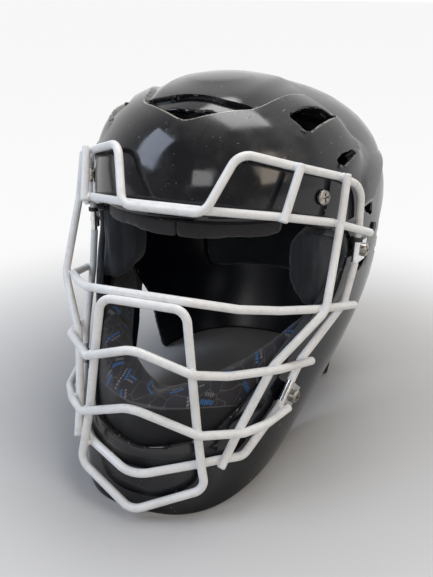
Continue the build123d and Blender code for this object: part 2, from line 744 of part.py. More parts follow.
with BuildPart() as frame_wire:
    add(looped_wire(frame_route))
    add(necks, mode=Mode.SUBTRACT)
write(frame_wire.part, "cage_frame_wire")
write(crossing_wire(brow_bar_route), "cage_brow_bar")
write(crossing_wire(eye_bar_route), "cage_eye_bar")
write(looped_wire(mouth_loop_route), "cage_mouth_loop")
write(crossing_wire(upper_mouth_route), "cage_upper_mouth_bar")
write(crossing_wire(lower_mouth_route), "cage_lower_mouth_bar")
for side, hand in ((1, "left"), (-1, "right")):
    write(side_wire(side_wire_route, side), f"cage_side_wire_{hand}")
    write(side_wire(brow_strut_route, side), f"cage_brow_strut_{hand}")

for frame, seat, name in zip((upper_clip, lower_clip), clip_seats, ("upper", "lower")):
    with BuildPart() as clip:
        with BuildSketch(frame.offset(-clip_length / 2)):
            Circle(clip_radius)
            with Locations((clip_tab_length / 2, clip_radius - clip_sheet / 2)):
                Rectangle(clip_tab_length, clip_sheet)
            Circle(clip_radius - clip_sheet, mode=Mode.SUBTRACT)
        extrude(amount=clip_length)
        add(post(seat, clip_screw_diameter + 2 * hole_play, rim_overrun, rim_overrun),
            mode=Mode.SUBTRACT)
    write(clip.part, f"clip_{name}_left")
    write(clip.part.mirror(Plane.YZ), f"clip_{name}_right")

with BuildPart() as half_collars:
    with BuildSketch(upper_clip.offset(-clip_length / 2)):
        Circle(collar_diameter / 2)
        Circle(wire_diameter / 2 + clip_play, mode=Mode.SUBTRACT)
    extrude(amount=-collar_length)
write(both_sides(half_collars.part), "wire_collars")

with BuildPart() as half_clip_screws:
    for seat in clip_seats:
        add(screw(seat.offset(clip_sheet), clip_screw_diameter, clip_head_diameter,
                  clip_head_height, clip_sheet + clip_nut_depth + nut_height))
write(both_sides(half_clip_screws.part), "clip_screws")

with BuildPart() as half_clip_nuts:
    for seat in clip_seats:
        add(nut(seat, clip_screw_diameter, clip_nut_depth))
write(both_sides(half_clip_nuts.part), "clip_nuts")

temple_screw = screw(temple_seat, temple_screw_diameter, temple_head_diameter,
                     temple_head_height, temple_nut_depth + nut_height)
write(both_sides(temple_screw), "temple_screws")
write(both_sides(nut(temple_seat, temple_screw_diameter, temple_nut_depth)), "temple_nuts")

inner_face = -shell_wall - pad_play
side_pads = [
    ("brow_pad", brow_pad_shares, brow_pad_thickness),
    ("cheek_pad", cheek_pad_shares, cheek_pad_thickness),
    ("temple_pad", temple_pad_shares, temple_pad_thickness),
]
for name, stations, thickness in side_pads:
    cushion = pad(shell_level_shares, inner_face, stations, thickness)
    write(cushion, f"{name}_left")
    write(cushion.mirror(Plane.YZ), f"{name}_right")

with BuildPart() as jaw_pad:
    add(pad(shell_level_shares, -shell_wall - jaw_pad_play, jaw_pad_shares, jaw_pad_thickness))
    pocket = post(clip_seats[1], nut_across + 2 * pocket_play, 0, cut_overrun)
    add([pocket, pocket.mirror(Plane.YZ)], mode=Mode.SUBTRACT)
write(jaw_pad.part, "jaw_pad")

plate_face = -plate_inset - plate_wall - pad_play
write(pad(plate_levels, plate_face, rear_upper_pad_shares, rear_pad_thickness), "rear_pad_upper")
write(pad(plate_levels, plate_face, rear_lower_pad_shares, rear_pad_thickness), "rear_pad_lower")

with BuildPart() as crown_pad:
    for place_share, depth_share in zip(crown_station_shares, crown_station_thickness_shares):
        along = crown_pad_place + place_share * crown_pad_half_length
        centre = ceiling_height(0, along, inner_face)
        edge = ceiling_height(crown_pad_half_width, along, inner_face)
        depth = crown_pad_thickness * depth_share
        foot = crown_pad_half_width * crown_foot_share
        swell = crown_pad_half_width + depth * crown_side_swell_share
        with BuildSketch(Plane.XZ.offset(-along)):
            with BuildLine():
                ThreePointArc((-crown_pad_half_width, edge), (0, centre),
                              (crown_pad_half_width, edge))
                ThreePointArc((crown_pad_half_width, edge), (swell, edge - depth / 2),
                              (foot, edge - depth))
                ThreePointArc((foot, edge - depth), (0, centre - depth), (-foot, edge - depth))
                ThreePointArc((-foot, edge - depth), (-swell, edge - depth / 2),
                              (-crown_pad_half_width, edge))
            make_face()
    loft()
write(crown_pad.part, "crown_pad")
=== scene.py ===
"""Catcher helmet: its shells, cage, pads and straps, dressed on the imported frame."""
import math
from functools import partial

import bmesh
import bpy
import numpy as np
from mathutils import Matrix, Vector


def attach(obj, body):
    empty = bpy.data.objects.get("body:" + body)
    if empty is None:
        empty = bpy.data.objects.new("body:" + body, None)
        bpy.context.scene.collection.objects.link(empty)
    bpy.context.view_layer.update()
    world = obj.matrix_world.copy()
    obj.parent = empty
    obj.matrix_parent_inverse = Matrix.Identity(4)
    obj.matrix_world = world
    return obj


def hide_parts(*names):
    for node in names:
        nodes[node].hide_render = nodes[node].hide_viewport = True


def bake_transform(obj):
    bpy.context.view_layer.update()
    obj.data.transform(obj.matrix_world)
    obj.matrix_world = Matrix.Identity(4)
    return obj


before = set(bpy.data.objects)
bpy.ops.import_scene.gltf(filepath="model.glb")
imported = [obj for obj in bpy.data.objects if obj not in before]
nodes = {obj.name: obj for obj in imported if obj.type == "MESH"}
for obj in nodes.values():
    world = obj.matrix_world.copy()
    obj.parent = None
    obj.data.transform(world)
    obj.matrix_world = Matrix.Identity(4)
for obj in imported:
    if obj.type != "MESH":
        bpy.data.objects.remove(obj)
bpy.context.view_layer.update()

MM = 0.001
FRONT = "front_shell_group"
REAR = "back_plate_group"

# Shell sizes in millimetres: X to the wearer's left, Y to the back, Z up from the rim
SHELL_HEIGHT = 249.0
HALF_WIDTH = 110.0
HALF_LENGTH = 160.6
SHELL_WALL = 4.0
PLATE_WALL = 3.5
PLATE_INSET = 6.8
STRAP_INSET = 4.35
STRAP_GROW = -5.0
STRAP_THICK = 1.6
STRAP_WIDTH = 20.0
STRAP_SHARE = 0.574
# Steps across a strap, as shares of its width, closer at its edges, then where the straps end
STRAP_STEPS = (-0.5, -0.45, -0.25, 0, 0.25, 0.45, 0.5)
SIDE_STRAP_ENDS = (33.8, 96.2)
TOP_STRAP_SHARES = (0.737, 0.9075)
# Angles past which edges stay crisp, and the distance in metres at which doubles join
SHELL_CREASE = 34
BAND_CREASE = 40
WELD = 2e-6
CROWN_CAP_RISE = 1.6

# Height, half width, front, widest and rear place as shares, then how full front and rear are
SHELL_LEVELS = [
    (0.000, 0.618, -0.928, 0.000, 0.6974, 2.8, 2.4),
    (0.096, 0.718, -0.922, 0.062, 0.7970, 2.3, 2.4),
    (0.201, 0.827, -0.897, 0.156, 0.8966, 1.9, 2.3),
    (0.321, 0.918, -0.866, 0.280, 0.9776, 1.6, 2.2),
    (0.442, 0.973, -0.735, 0.361, 1.0212, 1.7, 2.1),
    (0.570, 0.991, -0.573, 0.411, 1.0423, 1.85, 2.0),
    (0.707, 0.973, -0.511, 0.411, 1.0149, 2.0, 2.0),
    (0.827, 0.873, -0.461, 0.361, 0.9215, 2.1, 2.0),
    (0.916, 0.673, -0.374, 0.262, 0.7597, 2.1, 2.0),
    (0.972, 0.409, -0.249, 0.149, 0.5106, 2.0, 2.0),
    (1.000, 0.155, -0.100, 0.050, 0.2117, 2.0, 2.0),
]
PLATE_LEVELS = [
    (0.000, 0.790, -0.928, 0.100, 0.8200, 2.8, 2.4),
    (0.120, 0.816, -0.922, 0.120, 0.9000, 2.3, 2.4),
    (0.245, 0.832, -0.897, 0.200, 0.9560, 1.9, 2.3),
] + SHELL_LEVELS[3:]

# Outlines in millimetres: from the side as Y and Z, from the front as X and Z, from above as X and Y
SHELL_SIDE = [(-185, -30), (-40, -30), (-40, 0.01), (-20, 8), (30, 40), (60, 66), (60, 142),
              (120, 200), (200, 214.9), (200, 300), (-185, 300)]
FACE_OPENING = [(-40, 47.1), (0, 47.1), (40, 50), (60, 70), (86, 108), (96.8, 134.5), (94.6, 151.9),
                (70, 173.1), (0, 175.5), (-40, 175.5)]
BROW_PANEL = [(-30, -42), (0, -57), (9, -53.2), (17.5, -48.2), (27, -41.4), (35.5, -34.6), (40, -25), (44, -10),
              (47, 2), (54, 24), (71, 22), (90, 24), (99, 42), (140, 60), (140, -190), (-30, -190)]
CROWN_PANEL = [(-30, -37), (0, -37), (20, -37.4), (33, -34.2), (46, -27), (60, -15), (60, 90), (-30, 90)]
REAR_PANEL = [(-2, 196.5), (8, 199.5), (22, 199.8), (39, 196), (83, 190), (54, 177.5), (33, 165.8),
              (14, 164.8), (2, 175)]
CROWN_SLOT = [(-10, -51.6), (0, -56.3), (9, -52.2), (18, -47.1), (10, -47.9), (0, -49.4), (-10, -47.9)]
CROWN_VENT = [(55.7, -21), (58.2, -10), (61, -0.7), (65, 8), (69.3, 14.7), (77, 17.5), (73.5, -0.1),
              (69, -19.6), (62.6, -21.3)]
VENTS = [
    ([(-9.8, 202), (0.7, 204.6), (16, 203.2), (7.7, 200.2), (-6.4, 196.6)], 60),
    ([(15.5, 163.6), (34.5, 163.8), (35.6, 154.6)], 60),
    ([(12, 118.5), (19.5, 133.5), (33, 130), (33, 120.5), (20, 116.3)], 60),
]
# Where the ribs under the two upper vents begin: start and end, from above and then from the side
CROWN_RIB = ((69, -19.6), (77.6, 15.7))
SIDE_RIB = ((-6.4, 197.0), (14, 201.3))
PLATE_SIDE = [(48, 66), (56, 40.1), (62, 0), (200, 0), (200, 211), (124, 196), (64, 138), (48, 138)]
PLATE_SLOTS = [[(15.4, 84.9), (50.6, 84.9), (50.6, 91.9), (15.4, 91.9)],
               [(15.4, 149.6), (50.6, 149.6), (50.6, 156.6), (15.4, 156.6)]]
# How far each outline's corners are rounded
EDGE_CORNER, FACE_CORNER, BROW_CORNER, PLATE_CORNER = 6, 7, 5, 5
SLOT_CORNER, CROWN_VENT_CORNER, VENT_CORNER, PLATE_SLOT_CORNER = 2.5, 1.6, 1.2, 3.4


def linear(code):
    """An sRGB hex colour as linear red, green, blue and alpha."""
    parts = [int(code[i:i + 2], 16) / 255 for i in (1, 3, 5)]
    return [c / 12.92 if c <= 0.04045 else ((c + 0.055) / 1.055) ** 2.4 for c in parts] + [1]


def level_rows(levels, share):
    """The outline values at heights, on a smooth curve through the levels."""
    table = np.array(levels)
    low = np.clip(np.searchsorted(table[1:-1, 0], share, side="right"), 0, len(table) - 2)
    before = table[np.maximum(np.arange(len(table)) - 1, 0)]
    after = table[np.minimum(np.arange(len(table)) + 1, len(table) - 1)]
    slopes = (after - before) / (after[:, :1] - before[:, :1])
    span = (table[low + 1, 0] - table[low, 0])[:, None]
    part = (share[:, None] - table[low, :1]) / span
    return ((1 + 2 * part) * (1 - part) ** 2 * table[low] + part**2 * (3 - 2 * part) * table[low + 1]
            + span * part * (1 - part) ** 2 * slopes[low] + span * part**2 * (part - 1) * slopes[low + 1])


def skin_places(levels, angle, share, grow):
    """Places on a shell's face, grown outwards; a share over 1 runs in over the crown's cap."""
    angle, share, grow = np.broadcast_arrays(np.asarray(angle, float), np.asarray(share, float),
                                             np.asarray(grow, float))
    row = level_rows(levels, np.minimum(share, 1))
    draw = np.clip(2 - share, 0, 1)
    half = row[:, 1] * HALF_WIDTH + grow
    widest = row[:, 3] * HALF_LENGTH
    front = widest - row[:, 2] * HALF_LENGTH + grow
    rear = row[:, 4] * HALF_LENGTH - widest + grow
    across, along = np.sin(angle), np.cos(angle)
    across = np.where(np.abs(across) < 1e-9, 0, across)
    fullness = np.where(along > 0, row[:, 5], row[:, 6])
    size = (np.abs(across) ** fullness + np.abs(along) ** fullness) ** (-1 / fullness)
    reach = np.where(along > 0, front, rear)
    cap = CROWN_CAP_RISE * (1 - draw**2)
    return np.stack([half * across * size * draw, widest - reach * along * size * draw,
                     np.minimum(share, 1) * (SHELL_HEIGHT + grow) + cap], axis=1)


def rounded(points, radius, steps=4):
    """A closed outline with its corners rounded off, as far as their runs allow."""
    points = [np.array(p, float) for p in points]
    out = []
    for i, corner in enumerate(points):
        before, after = points[i - 1], points[(i + 1) % len(points)]
        a, b = before - corner, after - corner
        reach = min(radius, 0.45 * np.linalg.norm(a), 0.45 * np.linalg.norm(b))
        start, end = corner + a / np.linalg.norm(a) * reach, corner + b / np.linalg.norm(b) * reach
        for step in range(steps + 1):
            t = step / steps
            out.append((1 - t) ** 2 * start + 2 * t * (1 - t) * corner + t**2 * end)
    return np.array(out)


def depth_in(points, outline):
    """How deep each plane point lies inside a closed outline; outside it is negative."""
    best = np.full(len(points), 1e9)
    inside = np.zeros(len(points), bool)
    for start, end in zip(outline, np.roll(outline, -1, axis=0)):
        run = end - start
        along = np.clip(((points - start) @ run) / max(run @ run, 1e-12), 0, 1)
        best = np.minimum(best, np.linalg.norm(points - start - along[:, None] * run, axis=1))
        crosses = (start[1] > points[:, 1]) != (end[1] > points[:, 1])
        safe = run[1] if abs(run[1]) > 1e-12 else 1e-12
        inside ^= crosses & (points[:, 0] < start[0] + (points[:, 1] - start[1]) * run[0] / safe)
    return np.where(inside, best, -best)


def ease(value):
    """A smooth step from 0 to 1."""
    t = np.clip(value, 0, 1)
    return t * t * (3 - 2 * t)


def share_ladder(levels, low, high, pitch):
    """Heights, as shares, that are evenly spaced along a shell's profile, then over its cap."""
    fine = np.linspace(low, 1, 600)
    lengths = np.zeros(len(fine))
    for angle in (0.01, 1.57, 3.13):
        runs = np.linalg.norm(np.diff(skin_places(levels, angle, fine, 0), axis=0), axis=1)
        lengths[1:] += np.cumsum(runs) / 3
    count = int(lengths[-1] / pitch)
    shares = np.interp(np.linspace(0, lengths[-1], count), lengths, fine)
    cap = 2 - np.geomspace(1, 0.06, 10)[1:] if high > 1 else []
    return np.concatenate([shares, cap])


class Skin:
    """Half of a shell as triangles in its own angle and height, cut along exact lines."""

    def __init__(self, levels, low, high, pitch, columns):
        self.levels = levels
        shares = share_ladder(levels, low, high, pitch)
        angles = np.linspace(0, np.pi, columns)
        grid = np.array([(a, s) for s in shares for a in angles])
        self.uv = grid
        self.faces = []
        for j in range(len(shares) - 1):
            for i in range(columns - 1):
                a = j * columns + i
                b, c, d = a + 1, a + columns + 1, a + columns
                self.faces += [(a, b, c), (a, c, d)] if (i + j) % 2 else [(a, b, d), (b, c, d)]
        self.low, self.high = shares[0], shares[-1]

    def places(self, uv=None, grow=0):
        uv = self.uv if uv is None else uv
        return skin_places(self.levels, uv[:, 0], uv[:, 1], grow)

    def split(self, measure, level):
        """Adds the line where the measure has a value, as edges of the mesh."""
        values = measure(self.places()) - level
        sign = np.sign(values)
        faces = np.array(self.faces)
        edges = np.unique(np.sort(np.concatenate([faces[:, :2], faces[:, 1:], faces[:, ::2]]), axis=1), axis=0)
        crossed = edges[sign[edges[:, 0]] * sign[edges[:, 1]] < 0]
        if not len(crossed):
            return
        low, high = np.zeros(len(crossed)), np.ones(len(crossed))
        start, end = self.uv[crossed[:, 0]], self.uv[crossed[:, 1]]
        at_start = sign[crossed[:, 0]]
        for halving in range(14):
            middle = (low + high) / 2
            found = np.sign(measure(self.places(start + (end - start) * middle[:, None])) - level)
            same = found == at_start
            low, high = np.where(same, middle, low), np.where(same, high, middle)
        part = (low + high) / 2
        turn, share = self.uv.T
        rim = [turn <= 0, turn >= np.pi, share <= self.low, share >= self.high]
        held = np.zeros(len(self.uv), bool)
        moved = {}
        for k, (a, b) in enumerate(crossed):
            for own, other, t in ((a, b, part[k]), (b, a, 1 - part[k])):
                stays = all(not line[own] or line[other] for line in rim)
                if t < 0.22 and stays and (own not in moved or t < moved[own][0]):
                    moved[own] = (t, start[k] + (end[k] - start[k]) * part[k])
        for own, (t, place) in moved.items():
            self.uv[own] = place
            held[own] = True
        sign = np.where(held, 0, sign)
        fresh, extra = {}, []
        for k, (a, b) in enumerate(crossed):
            if sign[a] * sign[b] < 0:
                fresh[(a, b)] = len(self.uv) + len(extra)
                extra.append(start[k] + (end[k] - start[k]) * part[k])
        if extra:
            self.uv = np.concatenate([self.uv, np.array(extra)])
        result = []
        for face in self.faces:
            sides = [sorted((face[i], face[(i + 1) % 3])) for i in range(3)]
            cuts = [fresh.get(tuple(side)) for side in sides]
            count = sum(c is not None for c in cuts)
            if count == 0:
                result.append(face)
            elif count == 1:
                i = next(k for k in range(3) if cuts[k] is not None)
                a, b, c = face[i], face[(i + 1) % 3], face[(i + 2) % 3]
                result += [(a, cuts[i], c), (cuts[i], b, c)]
            else:
                i = next(k for k in range(3) if cuts[k] is None)
                a, b, c = face[i], face[(i + 1) % 3], face[(i + 2) % 3]
                near, far = cuts[(i + 1) % 3], cuts[(i + 2) % 3]
                result += [(a, b, near), (a, near, far), (far, near, c)]
        self.faces = result

    def keep(self, measure):
        """Drops the triangles whose middle lies where the measure is negative."""
        faces = np.array(self.faces)
        middles = self.uv[faces].mean(axis=1)
        kept = measure(self.places(middles)) > 0
        faces = faces[kept]
        used, back = np.unique(faces, return_inverse=True)
        self.uv = self.uv[used]
        self.faces = [tuple(face) for face in back.reshape(faces.shape)]

    def open_edges(self):
        """The edges of one triangle only, in that triangle's order, apart from the centre line."""
        seen = {}
        for face in self.faces:
            for i in range(3):
                a, b = face[i], face[(i + 1) % 3]
                key = (min(a, b), max(a, b))
                seen[key] = None if key in seen else (a, b)
        centre = (self.uv[:, 0] <= 0) | (self.uv[:, 0] >= np.pi)
        top = self.uv[:, 1] >= 1.9
        return [e for e in seen.values()
                if e and not (centre[e[0]] and centre[e[1]]) and not (top[e[0]] and top[e[1]])]


def placed(name, data):
    """A new object in the scene, at the origin."""
    made = bpy.data.objects.new(name, data)
    bpy.context.scene.collection.objects.link(made)
    return made


def mark(mesh, label, values):
    """Gives each point of a mesh a number or a vector for the finishes to read."""
    values = np.asarray(values, np.float32)
    kind, key = ("FLOAT", "value") if values.ndim == 1 else ("FLOAT_VECTOR", "vector")
    mesh.attributes.new(label, kind, "POINT").data.foreach_set(key, values.ravel())


def wall_mesh(name, skin, outer, inner, marks, materials):
    """The whole wall from its cut half: outer face, inner face and rim, mirrored and merged."""
    outside, inside = skin.places(grow=outer), skin.places(grow=inner)
    count = len(outside)
    places = np.concatenate([outside, inside])
    faces = list(skin.faces) + [(c + count, b + count, a + count) for a, b, c in skin.faces]
    kinds = [0] * len(skin.faces) + [1] * len(skin.faces)
    for a, b in skin.open_edges():
        faces.append((b, a, a + count, b + count))
        kinds.append(0)
    centre = np.concatenate([(skin.uv[:, 0] <= 0) | (skin.uv[:, 0] >= np.pi)] * 2)
    places[centre, 0] = 0
    both = np.concatenate([places, places * (-1, 1, 1)])
    faces += [tuple(v + 2 * count for v in reversed(f)) for f in faces]
    mesh = bpy.data.meshes.new(name)
    mesh.from_pydata((both * MM).tolist(), [], faces)
    for label, values in marks.items():
        mark(mesh, label, np.tile(values, 4))
    mesh.polygons.foreach_set("material_index", kinds * 2)
    for material in materials:
        mesh.materials.append(material)
    return finished_piece(mesh, SHELL_CREASE, WELD)


def finished_piece(mesh, degrees, merge=0.0):
    """A piece from a mesh: doubles joined and gaps filled, faces outwards, sharp only past an angle."""
    work = bmesh.new()
    work.from_mesh(mesh)
    if merge:
        bmesh.ops.remove_doubles(work, verts=work.verts, dist=merge)
        holes = [e for e in work.edges if e.is_boundary]
        if holes:
            bmesh.ops.holes_fill(work, edges=holes, sides=0)
    bmesh.ops.recalc_face_normals(work, faces=work.faces)
    work.to_mesh(mesh)
    work.free()
    mesh.polygons.foreach_set("use_smooth", [True] * len(mesh.polygons))
    mesh.set_sharp_from_angle(angle=math.radians(degrees))
    return placed(mesh.name, mesh)


def feed(tree, socket, value):
    """Gives an input a value, or a link from a node or one of its outputs."""
    if isinstance(value, bpy.types.Node):
        value = next(output for output in value.outputs if output.enabled)
    if isinstance(value, bpy.types.NodeSocket):
        tree.links.new(value, socket)
    else:
        socket.default_value = value


def add(tree, kind, feeds=(), stops=(), **settings):
    """Adds a node with its settings, its inputs in their order or by name, and a ramp's colour stops."""
    made = tree.nodes.new(kind)
    for key, value in settings.items():
        setattr(made, key, value)
    if isinstance(feeds, dict):
        pairs = [(made.inputs[key], value) for key, value in feeds.items()]
    else:
        pairs = zip([socket for socket in made.inputs if socket.enabled], feeds)
    for socket, value in pairs:
        feed(tree, socket, value)
    points = made.color_ramp.elements if stops else []
    while len(points) < len(stops):
        points.new(0.5)
    for point, (place, code) in zip(points, stops):
        point.position = place
        point.color = linear(code)
    return made


# Node kinds and settings that the finishes share; patterns run over metres, so a size is PER_MM over it
ATTRIBUTE, MAPPING, NOISE = "ShaderNodeAttribute", "ShaderNodeMapping", "ShaderNodeTexNoise"
VORONOI, WAVE, RAMP = "ShaderNodeTexVoronoi", "ShaderNodeTexWave", "ShaderNodeValToRGB"
RANGE, MATH, VECTOR, MIX = "ShaderNodeMapRange", "ShaderNodeMath", "ShaderNodeVectorMath", "ShaderNodeMix"
EASED = {"interpolation_type": "SMOOTHSTEP"}
TIMES = {"operation": "MULTIPLY"}
TINT = {"data_type": "RGBA"}
PER_MM = 1000.0


def finish_of(name):
    """A new material, the way to add nodes to it, and its object coordinates."""
    material = bpy.data.materials.new(name)
    material.use_nodes = True
    node = partial(add, material.node_tree)
    return material, node, node("ShaderNodeTexCoord").outputs["Object"]


def join_shader(material, node, colour, rough, relief, fixed=()):
    """Joins colour, roughness and relief (height, strength, depth in millimetres) to the shader."""
    height, strength, depth = relief
    bump = node("ShaderNodeBump", {"Height": height, "Strength": strength, "Distance": depth * MM})
    shader = material.node_tree.nodes["Principled BSDF"]
    for key, value in {"Base Color": colour, "Roughness": rough, "Normal": bump, **dict(fixed)}.items():
        feed(material.node_tree, shader.inputs[key], value)
    return material


def gloss_shell(name, body, edge):
    """Moulded ABS with a high polish: deep black, clear reflections, dusty film, warm worn edges."""
    material, node, place = finish_of(name)
    rim = node(ATTRIBUTE, attribute_name="rim_mm").outputs["Fac"]
    lip = node(ATTRIBUTE, attribute_name="lip_mm").outputs["Fac"]
    breakup = node(RANGE, (node(NOISE, (place, PER_MM / 9, 4, 0.6)), 0.38, 0.62), **EASED)
    worn_rim = node(MATH, (node(RANGE, (rim, 0.2, 1.5, 1, 0), **EASED), breakup), **TIMES)
    breakup = node(RANGE, (node(NOISE, (place, PER_MM / 16, 5, 0.7)), 0.36, 0.58, 0.15, 0.8), **EASED)
    worn_lip = node(MATH, (node(RANGE, (lip, 0.15, 0.75, 1, 0), **EASED), breakup), **TIMES)
    film = node(RANGE, (node(NOISE, (place, PER_MM / 34, 5, 0.65)), 0.42, 0.72), **EASED)
    dusty = node(RANGE, (film, 0.25, 0.9, 0.15, 1), **EASED)
    specks = node(RANGE, (node(NOISE, (place, PER_MM / 1.7, 1, 0.5)), 0.735, 0.79), **EASED)
    specks = node(MATH, (specks, dusty), **TIMES)
    drawn = node(MAPPING, {"Vector": place, "Rotation": (0.3, 0.9, 0.5), "Scale": (1, 0.06, 1)})
    scratches = node(RANGE, (node(NOISE, (drawn, PER_MM / 2.2, 1, 0.4)), 0.735, 0.78), **EASED)
    colour = linear(body)
    for share, strength, code in ((film, 0.16, "#5c5852"), (specks, 0.6, "#b9b5aa"),
                                  (scratches, 0.3, "#8e8a84"), (worn_rim, 0.2, edge), (worn_lip, 1, "#b4afa3")):
        colour = node(MIX, (node(MATH, (share, strength), **TIMES), colour, linear(code)), **TINT)
    rough = node(MATH, (node(RANGE, (film, 0, 1, 0.09, 0.26)), node(MATH, (scratches, 0.25), **TIMES)))
    ripple = node(NOISE, (place, PER_MM / 14, 2, 0.5))
    return join_shader(material, node, colour, rough, (ripple, 0.05, 0.6), {"IOR": 1.53})


def inner_shell(name):
    """The same ABS on its unpolished inside: a finer grain, near black, with a painted blue cast that stands
    for reflected blue light.
    """
    material, node, place = finish_of(name)
    cloud = node(NOISE, (place, PER_MM / 26, 4, 0.6))
    # Painted reflection: the blue in these near-black tones stands for reflected blue light; the plastic itself
    # is black.
    colour = node(RAMP, (cloud,), ((0.35, "#0a0d18"), (0.75, "#141a2b")))
    drawn = node(MAPPING, {"Vector": place, "Rotation": (0.2, 0.4, 1.1), "Scale": (1, 0.05, 1)})
    scuffs = node(RANGE, (node(NOISE, (drawn, PER_MM / 3, 1, 0.5)), 0.72, 0.8), **EASED)
    rough = node(RANGE, (scuffs, 0, 1, 0.32, 0.5))
    grain = node(NOISE, (place, PER_MM / 1.1, 2))
    return join_shader(material, node, colour, rough, (grain, 0.12, 0.2), {"IOR": 1.5})


def vinyl_wire(name):
    """Vinyl dipped steel wire: thick satin white, faint grey grime and a few chips down to the metal."""
    material, node, place = finish_of(name)
    grime = node(RANGE, (node(NOISE, (place, PER_MM / 22, 5, 0.65)), 0.45, 0.72), **EASED)
    handled = node(RANGE, (node(NOISE, (place, PER_MM / 5, 4, 0.7)), 0.5, 0.75), **EASED)
    chips = node(RANGE, (node(NOISE, (place, PER_MM / 3.2, 3, 0.7)), 0.755, 0.775), **EASED)
    zone = node(RANGE, (node(NOISE, (place, PER_MM / 40, 1, 0.5)), 0.56, 0.62), **EASED)
    chips = node(MATH, (chips, zone), **TIMES)
    colour = linear("#e9eaea")
    for share, strength, code in ((grime, 0.22, "#a9a7a0"), (handled, 0.2, "#8f8a80"), (chips, 1, "#3a332b")):
        colour = node(MIX, (node(MATH, (share, strength), **TIMES), colour, linear(code)), **TINT)
    rough = node(RANGE, (grime, 0, 1, 0.3, 0.5))
    height = node(MATH, (node(NOISE, (place, PER_MM / 6, 3, 0.55)), chips), operation="SUBTRACT")
    return join_shader(material, node, colour, rough, (height, 0.18, 0.3), {"IOR": 1.5})


def plated_clip(name):
    """Bright chromium plate on rolled steel: mirror-like, with faint rolling lines and finger marks."""
    material, node, place = finish_of(name)
    colour = node(RAMP, (node(NOISE, (place, PER_MM / 6, 3)),), ((0.35, "#c9cacb"), (0.75, "#eceded")))
    drawn = node(MAPPING, {"Vector": place, "Scale": (1, 1, 0.08)})
    rolled = node(NOISE, (drawn, PER_MM / 0.9, 2))
    rough = node(RANGE, (rolled, 0, 1, 0.08, 0.24))
    return join_shader(material, node, colour, rough, (rolled, 0.08, 0.1), {"Metallic": 1.0})


def nickel_screw(name):
    """Nickel plated steel, tumbled and dulled: soft grey metal with darker tarnish in patches."""
    material, node, place = finish_of(name)
    tarnish = node(NOISE, (place, PER_MM / 2.4, 4, 0.65))
    colour = node(RAMP, (tarnish,), ((0.3, "#5f5b55"), (0.55, "#a8a39b"), (0.8, "#c6c2bb")))
    rough = node(RANGE, (tarnish, 0, 1, 0.42, 0.2))
    return join_shader(material, node, colour, rough, (tarnish, 0.15, 0.1), {"Metallic": 1.0})


def plain_moulding(name, dark, light, rough_low, rough_high, grain_mm):
    """Matt moulded rubber or nylon: fine grain, slight bloom where it was handled."""
    material, node, place = finish_of(name)
    bloom = node(NOISE, (place, PER_MM / 7, 4, 0.6))
    colour = node(RAMP, (bloom,), ((0.35, dark), (0.8, light)))
    rough = node(RANGE, (bloom, 0, 1, rough_low, rough_high))
    grain = node(NOISE, (place, PER_MM / grain_mm, 2))
    return join_shader(material, node, colour, rough, (grain, 0.25, 0.15))


def foam_pad(name, dark, light):
    """Closed-cell EVA foam with a brushed face: charcoal, soft sheen, pale frayed cut edges."""
    material, node, place = finish_of(name)
    cells = node(NOISE, (place, PER_MM / 0.9, 2, 0.6))
    edge = node(ATTRIBUTE, attribute_name="edge_mm").outputs["Fac"]
    frayed = node(RANGE, (node(NOISE, (place, PER_MM / 2.2, 3, 0.7)), 0.35, 0.6, 0.35, 1), **EASED)
    pale = node(MATH, (node(RANGE, (edge, 0.3, 0.8, 0.8, 0), **EASED), frayed), **TIMES)
    pores = node(RANGE, (cells, 0.45, 0.8, 0, 0.2), **EASED)
    colour = node(RAMP, (node(NOISE, (place, PER_MM / 18, 4, 0.6)),), ((0.3, dark), (0.75, light)))
    for share, code in ((pores, "#454c56"), (pale, "#a9a9a6")):
        colour = node(MIX, (share, colour, linear(code)), **TINT)
    return join_shader(material, node, colour, 0.82, (cells, 0.35, 0.3),
                       {"Sheen Weight": 0.25, "Sheen Roughness": 0.5})


